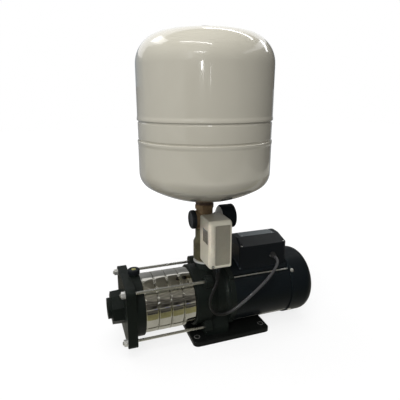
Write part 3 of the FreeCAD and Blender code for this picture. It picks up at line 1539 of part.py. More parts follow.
add_pocket(hood, add_outline(new_sketch(hood, "XZ_Plane", lift="switch_front"), rectangle(
    "switch_side_rim - switch_left", "switch_rim - switch_below",
    "switch_right - switch_chamfer", "switch_above - switch_rim")), "switch_panel")


def hood_hollow(back, low):
    """Cut the hollow of the cover from a back line and a floor to the front and the roof."""
    front = "switch_panel + switch_wall - switch_front"
    add_pocket(hood, add_outline(new_sketch(hood, "XY_Plane", lift=low), rectangle(
        "switch_wall - switch_left", front, "switch_right - switch_wall", back)),
        f"switch_above - switch_wall - ({low})", reverse=True)


hood_hollow("1 - switch_back", "switch_wall + switch_lift - switch_below")
hood_hollow("0 - switch_back - switch_slope - switch_wall", "switch_wall - switch_below")
add_pocket(hood, add_outline(new_sketch(hood, "YZ_Plane", lift="0 - switch_left - 1"), rectangle(
    "0 - window_far", "0 - window_low", "0 - window_near", "0 - window_high")),
    "switch_wall + 2", reverse=True)
gland_hole = add_circle(new_sketch(hood, "XY_Plane", lift="0 - switch_below - 1"), "switch_gland_along",
                        "0 - switch_gland_out", "gland_thread + fit_gap")
add_pocket(hood, gland_hole, "switch_wall + 2", reverse=True)

pane = new_part("switch_window", height="fitting_level")
add_pad(pane, add_outline(new_sketch(pane, "YZ_Plane", lift="run_gap - switch_left"), rectangle(
    "fit_gap - window_far", "fit_gap - window_low",
    "0 - window_near - fit_gap", "0 - window_high - fit_gap")), "switch_wall - run_gap")

base = new_part("switch_base", height="fitting_level")
add_pad(base, add_outline(new_sketch(base, "XZ_Plane", lift="switch_back"), rectangle(
    "switch_wall + fit_gap - switch_left", "switch_wall + switch_lift + fit_gap - switch_below",
    "switch_right - switch_wall - fit_gap", "switch_above - switch_wall - fit_gap")), "switch_plate")
add_turning(base, add_outline(new_sketch(base, "YZ_Plane"), [
    ("0 - switch_back", "0"),
    ("0 - switch_back", "stem_radius + 2 * switch_wall"),
    ("0 - sleeve_start", "stem_radius + 2 * switch_wall"),
    ("0 - sleeve_start", "plunger_radius + switch_wall"),
    ("0 - sleeve_end", "plunger_radius + switch_wall"),
    ("0 - sleeve_end", "0"),
]))
add_turning(base, add_outline(new_sketch(base, "YZ_Plane"), [
    ("1 - switch_back", "0"),
    ("1 - switch_back", "stem_radius + fit_gap"),
    ("0 - switch_back - side_thread - fit_gap", "stem_radius + fit_gap"),
    ("0 - switch_back - side_thread - fit_gap", "side_bore / 2"),
    ("0 - sleeve_start", "side_bore / 2"),
    ("0 - sleeve_start", "plunger_radius + pin_play"),
    ("0 - sleeve_end - 1", "plunger_radius + pin_play"),
    ("0 - sleeve_end - 1", "0"),
]), cut=True)

turned("switch_plunger", "fitting_level", [
    ("0 - sleeve_start - run_gap", "0"),
    ("0 - sleeve_start - run_gap", "plunger_radius"),
    ("ring_edge - sleeve_start - plunger_length", "plunger_radius"),
    ("0 - sleeve_start - plunger_length", "plunger_radius - ring_edge"),
    ("0 - sleeve_start - plunger_length", "0"),
], role="YZ_Plane")

block = new_part("contact_block", height="fitting_level")
add_pad(block, add_outline(new_sketch(block, "XZ_Plane", lift="switch_back + switch_plate"), rectangle(
    "0 - block_half_width", "block_rise - switch_below", "block_half_width",
    "block_rise + block_height - switch_below")), "block_length")
for across in (-1, 0, 1):
    face = new_sketch(block, "XZ_Plane", lift="switch_back + switch_plate + block_length")
    hole = add_circle(face, f"{across} * block_pitch", "block_rise + block_height / 2 - switch_below",
                      "block_hole")
    add_pocket(block, hole, "block_hole * 2")


# Pressure tank: two drawn shells on a recessed hoop, with the rubber bag and the air valve.

def crown_points(radius, crown, knuckle, level, up, wall):
    """List the two arcs of a dished end from its pole to its rim, drawn inwards by a wall."""
    lean = f"({radius} - {knuckle}) / ({crown} - {knuckle})"
    slope = f"sqrt(1 - ({lean}) ^ 2)"
    depth = f"({crown} - ({crown} - {knuckle}) * {slope})"
    join_radius = f"({crown} - {wall}) * {lean}"
    join_level = f"{level} + {up} * ({crown} - ({crown} - {wall}) * {slope})"
    return [
        ("0", f"{level} + {up} * {wall}", f"{up} * ({crown} - {wall})"),
        (join_radius, join_level, f"{up} * ({knuckle} - {wall})"),
        (f"{radius} - {wall}", f"{level} + {up} * {depth}"),
    ]


def backwards(points):
    """Turn a run of outline points round, keeping the bends with their lines."""
    turned_points = []
    for index in range(len(points) - 1, -1, -1):
        bend = points[index - 1][2:] if index > 0 else ()
        place = points[index][:2]
        turned_points.append(place + tuple(f"0 - ({text})" for text in bend))
    return turned_points


low_outer = crown_points("tank_radius", "low_crown", "low_knuckle", "0", "1", "0")
low_inner = crown_points("tank_radius", "low_crown", "low_knuckle", "0", "1", "tank_wall")
top_outer = crown_points("tank_radius", "top_crown", "top_knuckle", "tank_top", "-1", "0")
top_inner = crown_points("tank_radius", "top_crown", "top_knuckle", "tank_top", "-1", "tank_wall")
bag_outer = crown_points("tank_radius - bag_gap", "low_crown", "low_knuckle", "bag_low", "1", "0")
bag_inner = crown_points("tank_radius - bag_gap", "low_crown", "low_knuckle", "bag_low", "1", "bag_wall")

low_shell = upright("tank_lower_shell", "tank_base", low_outer + [
    ("tank_radius", "band_low"),
    ("tank_radius - tank_wall", "band_low"),
] + backwards(low_inner))
add_pocket(low_shell, add_circle(new_sketch(low_shell, "XY_Plane", lift="connector_radius"), "0", "0",
                                 "connector_radius + fit_gap"), "connector_radius + 1")

top_shell = upright("tank_upper_shell", "tank_base", top_outer + [
    ("tank_radius", "band_high"),
    ("tank_radius - tank_wall", "band_high"),
] + backwards(top_inner))
add_pocket(top_shell, add_circle(new_sketch(top_shell, "XY_Plane", lift="tank_top + 1"), "0", "0",
                                 "stem_hole + fit_gap"), "stem_hole * 2")

upright("tank_band", "tank_base", rectangle(
    "hoop_radius - tank_wall", "band_low - band_lap", "hoop_radius", "band_high + band_lap"))

upright("tank_diaphragm", "tank_base", bag_outer + [
    ("tank_radius - bag_gap", "bag_level - bag_rim"),
    ("hoop_radius - tank_wall - fit_gap", "bag_level - bag_rim"),
    ("hoop_radius - tank_wall - fit_gap", "bag_level"),
    ("tank_radius - bag_gap - bag_wall", "bag_level"),
] + backwards(bag_inner))

upright("tank_connector", "tank_base", [
    ("connector_bore", "0 - tank_rise + fitting_above - tank_thread + fit_gap"),
    ("connector_thread", "0 - tank_rise + fitting_above - tank_thread + fit_gap"),
    ("connector_thread", "fitting_above - tank_rise"),
    ("connector_radius", "fitting_above - tank_rise"),
    ("connector_radius", "0 - flange_wall"),
    ("connector_flange", "0 - flange_wall / 2"),
    ("connector_flange", "low_crown - sqrt(low_crown ^ 2 - connector_flange ^ 2) - fit_gap"),
    ("connector_radius", "low_crown - sqrt(low_crown ^ 2 - connector_radius ^ 2) - fit_gap"),
    ("connector_radius", "connector_rim"),
    ("connector_bore", "connector_rim"),
])

upright("air_valve", "tank_base + tank_top", [
    ("0", "0 - 2 * stem_hole"),
    ("stem_hole", "0 - 2 * stem_hole"),
    ("stem_hole", "stem_height"),
    ("stem_hole - ring_edge", "stem_height + ring_edge / 2"),
    ("0", "stem_height + ring_edge / 2"),
])
upright("air_valve_cap", "tank_base + tank_top", [
    ("stem_hole + run_gap", "0"),
    ("air_cap_radius", "0"),
    ("air_cap_radius", "air_cap_height / 3"),
    ("air_cap_radius - air_cap_height / 2", "air_cap_height"),
    ("0", "air_cap_height"),
    ("0", "stem_height + ring_edge"),
    ("stem_hole + run_gap", "stem_height + ring_edge"),
])


make_cable()
doc.recompute()

failed = [thing.Label for thing in doc.Objects if {"Invalid", "Error"} & set(thing.State)]
if failed:
    raise RuntimeError(f"not recomputed: {failed}")
for part in parts:
    shape = part.Shape
    if shape.isNull() or not shape.isValid() or not shape.Solids:
        raise RuntimeError(f"no valid solid: {part.Label}")

os.makedirs("parts", exist_ok=True)
for part in parts:
    part.Shape.exportStep(f"parts/{part.Label}.step")
print("parts", len(parts), "solids", sum(len(part.Shape.Solids) for part in parts))
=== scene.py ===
"""Booster pump with pressure tank: finishes, fine detail, studio and camera.

Everything is in metres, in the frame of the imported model. +X runs along the shaft to the motor,
-Y is the side of the pressure switch, +Z is up. Outlines are written in millimetres and pass mm().
"""

import json
import logging
import math
from collections.abc import Callable, Iterable, Sequence
from dataclasses import dataclass, field, replace
from enum import Enum
from functools import partial
from itertools import product

import bpy
from mathutils import Euler, Matrix, Vector

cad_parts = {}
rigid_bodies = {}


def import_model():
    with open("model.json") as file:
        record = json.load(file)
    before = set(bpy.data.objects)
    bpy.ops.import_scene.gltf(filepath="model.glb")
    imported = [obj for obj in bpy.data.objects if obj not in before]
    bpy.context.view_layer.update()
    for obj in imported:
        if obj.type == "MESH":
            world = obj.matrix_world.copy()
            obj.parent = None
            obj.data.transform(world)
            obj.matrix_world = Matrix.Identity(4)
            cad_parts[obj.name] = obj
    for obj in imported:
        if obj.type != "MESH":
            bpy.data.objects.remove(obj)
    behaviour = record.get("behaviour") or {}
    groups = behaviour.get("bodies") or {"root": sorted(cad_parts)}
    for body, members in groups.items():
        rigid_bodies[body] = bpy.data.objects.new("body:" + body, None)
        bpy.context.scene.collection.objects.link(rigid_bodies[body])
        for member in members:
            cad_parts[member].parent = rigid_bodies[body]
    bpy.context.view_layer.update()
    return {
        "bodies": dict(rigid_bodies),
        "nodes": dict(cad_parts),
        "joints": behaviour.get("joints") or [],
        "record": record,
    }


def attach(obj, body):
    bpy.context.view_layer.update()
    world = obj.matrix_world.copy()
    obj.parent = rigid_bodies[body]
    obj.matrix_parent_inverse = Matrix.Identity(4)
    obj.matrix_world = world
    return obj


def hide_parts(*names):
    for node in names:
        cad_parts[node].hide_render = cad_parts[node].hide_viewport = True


LOG = logging.getLogger("booster_pump")

Colour = tuple[float, float, float]
Point = tuple[float, float, float]
Row = tuple[float, ...]
Swell = Callable[[float, float, float], float]
Socket = bpy.types.NodeSocket
Tree = bpy.types.NodeTree

SHAFT_HEIGHT = 0.088
FITTING_LEVEL = 0.270
TANK_BASE = 0.315
POLE_REACH = 1e-6
SQUARE = ((-1, -1), (1, -1), (1, 1), (-1, 1))


class Run(Enum):
    """The direction that a piece made on +Z takes, as the turn about X, Y and Z that leads there."""

    ALONG_SHAFT = (0, math.pi / 2, 0)
    AGAINST_SHAFT = (0, -math.pi / 2, 0)
    TOWARDS_SWITCH = (math.pi / 2, 0, 0)
    UP = (0, 0, 0)
    DOWN = (math.pi, 0, 0)
    UPRIGHT_TO_MOTOR = (math.pi / 2, 0, math.pi / 2)
    UPRIGHT_TO_INLET = (math.pi / 2, 0, -math.pi / 2)

    def at(self, base: Point | Vector) -> Matrix:
        """Give the place of a piece that runs this way from a point."""
        return Matrix.Translation(base) @ Euler(self.value).to_matrix().to_4x4()


def mm(*rows: Row) -> list[Row]:
    """Turn rows of millimetres into metres."""
    return [tuple(number / 1000 for number in row) for row in rows]


# Shader graphs


class Graph:
    """A shader node tree that is being put together."""

    def __init__(self, tree: Tree) -> None:
        """Start from an empty tree.

        Args:
            tree: The node tree of a material, a world or a group.
        """
        self.tree = tree
        tree.nodes.clear()

    def feed(self, socket: Socket, source: object) -> None:
        """Give an input its source: a link from another socket, or a constant."""
        if isinstance(source, bpy.types.NodeSocket):
            self.tree.links.new(source, socket)
        elif isinstance(source, tuple) and len(source) == 3 and len(socket.default_value) == 4:
            socket.default_value = (*source, 1.0)
        else:
            socket.default_value = source

    def node(self, kind: str, inputs: dict[str | int, object] | None = None,
             **settings: object) -> bpy.types.Node:
        """Add a node.

        Args:
            kind: The node's type name.
            inputs: What feeds its inputs, by their names or numbers.
            **settings: Properties of the node itself.

        Returns:
            The new node.
        """
        made = self.tree.nodes.new(kind)
        for name, setting in settings.items():
            setattr(made, name, setting)
        for name, source in (inputs or {}).items():
            self.feed(made.inputs[name], source)
        return made

    def combine(self, operation: str, first: object, second: object, clamp: bool = False) -> Socket:
        """Combine two values with one operation and give the result."""
        made = self.node("ShaderNodeMath", {0: first, 1: second}, operation=operation, use_clamp=clamp)
        return made.outputs[0]

    def plus(self, first: object, second: object, clamp: bool = False) -> Socket:
        """Add two values."""
        return self.combine("ADD", first, second, clamp)

    def times(self, first: object, second: object, clamp: bool = False) -> Socket:
        """Multiply two values."""
        return self.combine("MULTIPLY", first, second, clamp)

    def span(self, source: Socket, low: object, high: object, floor: object = 0.0,
             top: object = 1.0, kind: str = "LINEAR") -> Socket:
        """Stretch the span from low to high of a value to the span from floor to top."""
        return self.node("ShaderNodeMapRange", {
            "Value": source, "From Min": low, "From Max": high, "To Min": floor, "To Max": top},
            interpolation_type=kind).outputs["Result"]

    def mix(self, share: object, first: object, second: object) -> Socket:
        """Mix two colours."""
        return self.node("ShaderNodeMix", {"Factor": share, 6: first, 7: second},
                         data_type="RGBA").outputs[2]

    def place(self) -> Socket:
        """Give the place on the object, in metres."""
        return self.node("ShaderNodeTexCoord").outputs["Object"]

    def part(self, vector: Socket, axis: str) -> Socket:
        """Give one of the three parts of a vector."""
        return self.node("ShaderNodeSeparateXYZ", {"Vector": vector}).outputs[axis]

    def noise(self, scale: object, detail: float, rough: float, stretch: Point | None = None) -> Socket:
        """Give a noise over the surface, from 0 to 1, stretched along the axes if asked."""
        where = self.place()
        if stretch is not None:
            where = self.node("ShaderNodeMapping", {"Vector": where, "Scale": stretch}).outputs["Vector"]
        return self.node("ShaderNodeTexNoise", {
            "Vector": where, "Scale": scale, "Detail": detail, "Roughness": rough}).outputs["Fac"]

    def group(self, tree: Tree, inputs: dict[str | int, object]) -> Socket:
        """Use a shared group with values of its own, and give its one output."""
        return self.node("ShaderNodeGroup", inputs, node_tree=tree).outputs[0]


def shaded(name: str, surface: Callable[[Graph], Socket]) -> bpy.types.Material:
    """Make a material.

    Args:
        name: The material's name.
        surface: What builds the shader in the material's graph and gives its output.

    Returns:
        The material with all its nodes.
    """
    material = bpy.data.materials.new(name)
    material.use_nodes = True
    graph = Graph(material.node_tree)
    graph.node("ShaderNodeOutputMaterial", {"Surface": surface(graph)})
    return material


class Effects:
    """The surface effects that the finishes share, each a node group with one output."""

    rub_width: float = 0.0012
    line_fineness: float = 900.0

    def __init__(self) -> None:
        """Build the five groups."""
        self.tone = self.group("uneven_tone", "Share", ("Size", "Contrast"), self.fill_tone)
        self.skin = self.group("surface_skin", "Height", ("Grain", "Pits"), self.fill_skin)
        self.wear = self.group("rubbed_edges", "Mask", ("Amount",), self.fill_wear)
        self.dust = self.group("settled_dust", "Mask", ("Amount",), self.fill_dust)
        self.lines = self.group("turning_lines", "Height", (), self.fill_lines)

    @staticmethod
    def group(name: str, output: str, inputs: Sequence[str],
              fill: Callable[[Graph, dict[str, Socket]], Socket]) -> Tree:
        """Make one group.

        Args:
            name: The group's name.
            output: The name of its output.
            inputs: The names of its number inputs.
            fill: What builds the effect from the inputs and gives its value.

        Returns:
            The group's tree.
        """
        tree = bpy.data.node_groups.new(name, "ShaderNodeTree")
        for title in inputs:
            tree.interface.new_socket(title, in_out="INPUT", socket_type="NodeSocketFloat")
        tree.interface.new_socket(output, in_out="OUTPUT", socket_type="NodeSocketFloat")
        graph = Graph(tree)
        graph.node("NodeGroupOutput", {output: fill(graph, graph.node("NodeGroupInput").outputs)})
        return tree

    @staticmethod
    def fill_tone(graph: Graph, source: dict[str, Socket]) -> Socket:
        """Say where a finish is a little darker or lighter."""
        broad = graph.noise(source["Size"], 5.0, 0.6)
        fine = graph.noise(graph.times(source["Size"], 9.0), 3.0, 0.5)
        both = graph.plus(graph.times(broad, 0.7), graph.times(fine, 0.3))
        half = graph.times(source["Contrast"], 0.5)
        return graph.span(both, 0.3, 0.7, graph.combine("SUBTRACT", 0.5, half), graph.plus(0.5, half))

    @staticmethod
    def fill_skin(graph: Graph, source: dict[str, Socket]) -> Socket:
        """Give the height of a sprayed or sand-cast skin."""
        soft = graph.noise(source["Grain"], 2.0, 0.5)
        sharp = graph.noise(graph.times(source["Grain"], 3.1), 3.0, 0.6)
        rest = graph.times(soft, graph.combine("SUBTRACT", 1.0, source["Pits"]))
        return graph.plus(rest, graph.times(graph.span(sharp, 0.3, 0.6), source["Pits"]))

    def fill_wear(self, graph: Graph, source: dict[str, Socket]) -> Socket:
        """Find the outer edges, where a finish is rubbed."""
        rounded = graph.node("ShaderNodeBevel", {"Radius": self.rub_width}, samples=4).outputs["Normal"]
        plain = graph.node("ShaderNodeNewGeometry").outputs["Normal"]
        turn = graph.node("ShaderNodeVectorMath", {0: rounded, 1: plain}, operation="DOT_PRODUCT")
        edge = graph.span(turn.outputs["Value"], 0.995, 0.88)
        broken = graph.span(graph.noise(160.0, 4.0, 0.7), 0.42, 0.6)
        return graph.times(graph.times(edge, broken), source["Amount"], clamp=True)

    @staticmethod
    def fill_dust(graph: Graph, source: dict[str, Socket]) -> Socket:
        """Find where dust settles, on faces that look up."""
        upward = graph.part(graph.node("ShaderNodeNewGeometry").outputs["Normal"], "Z")
        patches = graph.span(graph.noise(24.0, 6.0, 0.65), 0.35, 0.75, 0.3, 1.0)
        facing = graph.span(upward, 0.25, 0.95)
        return graph.times(graph.times(facing, patches), source["Amount"], clamp=True)

    def fill_lines(self, graph: Graph, source: dict[str, Socket]) -> Socket:
        """Give fine lines that run round a piece turned about the shaft's direction."""
        along = graph.part(graph.place(), "X")
        return graph.node("ShaderNodeTexNoise", {
            "W": along, "Scale": self.line_fineness, "Detail": 3.0}, noise_dimensions="1D").outputs["Fac"]


# Finishes

RUBBED_COLOUR = (0.06, 0.06, 0.06)
DUST_COLOUR = (0.34, 0.32, 0.29)
DUST_DULLS = 0.35
# Painted shade: the near-black colour that a finish takes below a given X, standing in for shade, and the
# length over which it fades in.
RISER_PAINTED_SHADE = (0.008, 0.008, 0.008)
RISER_PAINTED_SHADE_FADE = 0.035


@dataclass(frozen=True)
class Finish:
    """One finish: its colours, its gloss and how its surface varies."""

    name: str
    slot: str
    light: Colour
    dark: Colour
    roughness: tuple[float, float] = (0.35, 0.5)
    metallic: float = 0.0
    specular: float = 0.5
    coat: float = 0.0
    coat_roughness: float = 0.1
    tone_size: float = 8.0
    contrast: float = 0.6
    grain: float = 500.0
    pits: float = 0.2
    relief: float = 0.1
    round_edges: float = 0.0006
    rubbed: float = 0.0
    dust: float = 0.0
    lines: float = 0.0
    painted_shade_below: float | None = None

    def surface(self, effects: Effects, graph: Graph) -> Socket:
        """Build the finish.

        Args:
            effects: The shared node groups.
            graph: The material's graph.

        Returns:
            The shader's output.
        """
        share = graph.group(effects.tone, {"Size": self.tone_size, "Contrast": self.contrast})
        colour = graph.mix(share, self.dark, self.light)
        gloss = graph.span(share, 0.0, 1.0, self.roughness[1], self.roughness[0])
        if self.rubbed:
            colour = graph.mix(graph.group(effects.wear, {"Amount": self.rubbed}), colour, RUBBED_COLOUR)
        if self.dust:
            mask = graph.group(effects.dust, {"Amount": self.dust})
            colour = graph.mix(mask, colour, DUST_COLOUR)
            gloss = graph.plus(gloss, graph.times(mask, DUST_DULLS), clamp=True)
        # Painted shade: below the given X along the piece the colour fades to near black, standing in for
        # shade.
        if self.painted_shade_below is not None:
            along = graph.part(graph.place(), "X")
            lit_share = graph.span(along, self.painted_shade_below, self.painted_shade_below + RISER_PAINTED_SHADE_FADE)
            colour = graph.mix(lit_share, RISER_PAINTED_SHADE, colour)
        return graph.node("ShaderNodeBsdfPrincipled", {
            "Base Color": colour, "Roughness": gloss, "Metallic": self.metallic,
            "Specular IOR Level": self.specular, "Coat Weight": self.coat,
            "Coat Roughness": self.coat_roughness, "Normal": self.normal(effects, graph)}).outputs["BSDF"]

    def normal(self, effects: Effects, graph: Graph) -> Socket:
        """Join rounded edges and the relief of the skin."""
        edges = graph.node("ShaderNodeBevel", {"Radius": self.round_edges}, samples=4).outputs["Normal"]
        height = graph.group(effects.skin, {"Grain": self.grain, "Pits": self.pits})
        if self.lines:
            height = graph.plus(height, graph.times(graph.group(effects.lines, {}), self.lines))
        return graph.node("ShaderNodeBump", {
            "Height": height, "Strength": self.relief, "Distance": 0.001,
            "Normal": edges}).outputs["Normal"]


AGED_BRASS = Finish(
    "aged_brass", "brass", (0.21, 0.162, 0.09), (0.1, 0.076, 0.044), (0.34, 0.55), 0.6, specular=0.3,
    tone_size=26.0, contrast=0.9, grain=600.0, pits=0.4, relief=0.18, round_edges=0.0008)
CREAM_MOULDING = Finish(
    "cream_moulding", "cream_polymer", (0.36, 0.342, 0.274), (0.31, 0.292, 0.232), (0.3, 0.42), coat=0.5,
    coat_roughness=0.3, tone_size=18.0, grain=900.0, pits=0.3, relief=0.08, round_edges=0.0008, dust=0.06)

FINISHES = (
    AGED_BRASS,
    # Painted light: a lighter, warmer copy of the aged brass for the five-way fitting, offsetting the shade
    # that the tank casts on it.
    replace(AGED_BRASS, name="brass_painted_light", light=(0.3, 0.21, 0.118), dark=(0.16, 0.11, 0.064)),
    # Partly olive patina, partly painted shade: a darker copy of the aged brass for the check valve body.
    replace(AGED_BRASS, name="olive_brass_painted_shade", light=(0.15, 0.135, 0.078), dark=(0.05, 0.046, 0.028),
            roughness=(0.32, 0.5), tone_size=34.0, contrast=0.95),
    replace(AGED_BRASS, name="bronzed_nipple", light=(0.115, 0.078, 0.058), dark=(0.068, 0.046, 0.036),
            roughness=(0.35, 0.55), tone_size=30.0, contrast=0.6, relief=0.15, round_edges=0.0005),
    Finish("green_brass", "brass", (0.62, 0.6, 0.26), (0.44, 0.42, 0.18), (0.3, 0.45), 0.8,
           specular=0.4, tone_size=60.0, grain=700.0, round_edges=0.0003),
    CREAM_MOULDING,
    # Painted highlight: a lighter copy of the cream moulding for the cover's rounded front rim.
    replace(CREAM_MOULDING, name="cream_rim_painted_highlight", light=(0.55, 0.527, 0.432), dark=(0.49, 0.466, 0.38),
            dust=0.0),
    # Painted shade: a darker cream for the thin sheet in the cover's recess, standing in for the shade on the
    # front panel.
    Finish("recess_painted_shade", "cream_polymer", (0.24, 0.228, 0.178), (0.2, 0.188, 0.146), (0.4, 0.52),
           tone_size=30.0, contrast=0.8, grain=700.0, pits=0.3, relief=0.08, round_edges=0.0004),
    Finish("tank_enamel", "cream_paint", (0.53, 0.505, 0.425), (0.485, 0.46, 0.385), (0.16, 0.22),
           coat=1.0, coat_roughness=0.04, tone_size=3.0, grain=90.0, pits=0.1, relief=0.03, dust=0.04),
    Finish("black_casting_paint", "black_casting", (0.0085, 0.0115, 0.0098), (0.005, 0.0072, 0.006),
           (0.32, 0.5), specular=0.12, tone_size=14.0, grain=420.0, pits=0.5, relief=0.35,
           round_edges=0.0012, rubbed=0.08, dust=0.015),
    Finish("black_plate_paint", "black_plate", (0.0065, 0.0076, 0.007), (0.0035, 0.0042, 0.0038),
           specular=0.12, tone_size=12.0, relief=0.2, round_edges=0.0008, rubbed=0.1, dust=0.008),
    Finish("black_shell_paint", "black_paint", (0.0068, 0.0092, 0.011), (0.0045, 0.0062, 0.0074),
           (0.3, 0.42), specular=0.08, tone_size=10.0, grain=700.0, relief=0.08, dust=0.004),
    Finish("black_moulding", "black_polymer", (0.0085, 0.0103, 0.0126), (0.0058, 0.007, 0.0086),
           (0.3, 0.42), specular=0.15, tone_size=16.0, grain=900.0, round_edges=0.0012, dust=0.015),
    Finish("grey_moulding", "grey_polymer", (0.13, 0.135, 0.14), (0.08, 0.083, 0.086),
           tone_size=25.0, grain=900.0, round_edges=0.0008, dust=0.1),
    Finish("white_moulding", "white_polymer", (0.55, 0.55, 0.53), (0.44, 0.44, 0.42), tone_size=25.0,
           relief=0.08),
    Finish("mirror_steel", "polished_steel", (0.64, 0.63, 0.58), (0.46, 0.45, 0.405), (0.04, 0.1), 1.0,
           tone_size=30.0, contrast=0.9, grain=45.0, pits=0.0, relief=0.12, lines=0.02,
           round_edges=0.0004),
    Finish("zinc_plate", "zinc_steel", (0.85, 0.85, 0.82), (0.6, 0.6, 0.58), (0.25, 0.42), 0.75,
           tone_size=40.0, round_edges=0.0003),
    Finish("bright_plate", "bright_steel", (0.85, 0.85, 0.83), (0.68, 0.68, 0.66), (0.22, 0.36), 1.0,
           tone_size=60.0, relief=0.05, round_edges=0.0003),
    Finish("ground_steel", "shaft_steel", (0.58, 0.59, 0.6), (0.46, 0.47, 0.48), (0.2, 0.32), 1.0,
           tone_size=30.0, relief=0.08, lines=0.8, round_edges=0.0003),
    # Painted shade: a near-black for the flat disc round the cover's screw, standing in for the shade in its
    # hollow.
    Finish("screw_hollow_painted_shade", "dark_steel", (0.02, 0.021, 0.022), (0.01, 0.011, 0.012), (0.3, 0.45),
           specular=0.2, tone_size=30.0, relief=0.08),
    # Partly bare steel, partly painted highlight: light and dark patches for the rings round the foot plate's
    # holes, standing in for their glints.
    Finish("glint_painted_steel", "zinc_steel", (0.5, 0.5, 0.48), (0.02, 0.02, 0.02), (0.3, 0.5), 0.6,
           tone_size=130.0, contrast=1.0, round_edges=0.0002),
    Finish("cone_metal", "zinc_steel", (0.62, 0.62, 0.6), (0.48, 0.48, 0.46), (0.4, 0.55), 0.6,
           tone_size=30.0, relief=0.06, round_edges=0.0003),
    Finish("drawn_steel", "zinc_steel", (0.72, 0.72, 0.69), (0.58, 0.58, 0.55), (0.22, 0.34), 1.0,
           tone_size=40.0, relief=0.06, round_edges=0.0003),
    Finish("core_sheets", "lamination_steel", (0.32, 0.32, 0.33), (0.16, 0.16, 0.17), (0.4, 0.6), 1.0,
           tone_size=30.0, relief=0.4, lines=1.5),
    Finish("varnished_copper", "copper_winding", (0.62, 0.24, 0.08), (0.3, 0.1, 0.04), (0.25, 0.4), 0.9,
           tone_size=60.0, grain=900.0, relief=0.5),
    Finish("satin_aluminium", "plate_aluminium", (0.17, 0.19, 0.2), (0.135, 0.15, 0.16), metallic=0.5,
           tone_size=18.0, relief=0.05, lines=0.4, round_edges=0.0002),
    Finish("smoked_pane", "smoked_polymer", (0.10, 0.088, 0.068), (0.075, 0.064, 0.05), (0.12, 0.2),
           coat=0.3, relief=0.03, round_edges=0.0004),
    Finish("ceramic_face", "seal_ceramic", (0.7, 0.67, 0.6), (0.6, 0.57, 0.5), (0.15, 0.25), relief=0.03),
    Finish("black_rubber", "seal_rubber", (0.02, 0.02, 0.02), (0.012, 0.012, 0.012), (0.55, 0.75),
           specular=0.2, tone_size=40.0, relief=0.3),
    # The sheath is painted near black below X 0.012, as painted shade on the riser under the switch.
    Finish("cable_sheath_skin", "cable_sheath", (0.062, 0.062, 0.065), (0.04, 0.04, 0.042), (0.38, 0.5),
           specular=0.25, tone_size=40.0, grain=1200.0, relief=0.15, dust=0.05, painted_shade_below=0.012),
    Finish("dial_print", "dial_face", (0.82, 0.82, 0.8), (0.74, 0.74, 0.72), (0.4, 0.5), relief=0.02),
    Finish("needle_paint", "pointer_paint", (0.015, 0.015, 0.015), (0.01, 0.01, 0.01), (0.35, 0.45),
           relief=0.02),
)

DRESSED_NODES = {
    "black_casting_paint": ("suction_head", "discharge_head"),
    "black_plate_paint": ("foot_plate",),
    "black_shell_paint": ("motor_shell", "rear_shield", "fan_cover"),
    "black_moulding": ("fan", "terminal_box", "terminal_box_cover", "contact_block"),
    "black_rubber": ("chamber_seals", "tank_diaphragm"),
    "grey_moulding": ("diffusers", "impellers"),
    "white_moulding": ("capacitor", "port_washer"),
    "ceramic_face": ("seal_seat",),
    "ground_steel": ("pump_shaft", "seal_head", "bearing_outer_rings", "bearing_inner_rings",
                     "switch_plunger"),
    "zinc_plate": ("foot_screws", "switch_base"),
    "bright_plate": ("motor_bolts",),
    "core_sheets": ("stator_core", "rotor_core"),
    "varnished_copper": ("stator_windings",),
    "satin_aluminium": ("rating_plate",),
    "cone_metal": ("gauge_stem",),
    "green_brass": ("vent_screw",),
    "aged_brass": ("drain_plug", "air_valve", "check_valve_disc"),
    "brass_painted_light": ("five_way_fitting",),
    "olive_brass_painted_shade": ("check_valve_body",),
    "bronzed_nipple": ("tank_connector",),
    "dial_print": ("gauge_dial",),
    "needle_paint": ("gauge_pointer",),
    "clear_pane": ("gauge_window",),
    "smoked_pane": ("switch_window",),
}


def clear_surface(graph: Graph) -> Socket:
    """Build the clear plastic of the gauge's window, with faint smears."""
    smears = graph.span(graph.noise(60.0, 4.0, 0.6), 0.4, 0.8, 0.02, 0.09)
    return graph.node("ShaderNodeBsdfPrincipled", {
        "Base Color": (0.95, 0.97, 0.97), "Transmission Weight": 1.0, "IOR": 1.45,
        "Roughness": smears}).outputs["BSDF"]


# Mesh makers


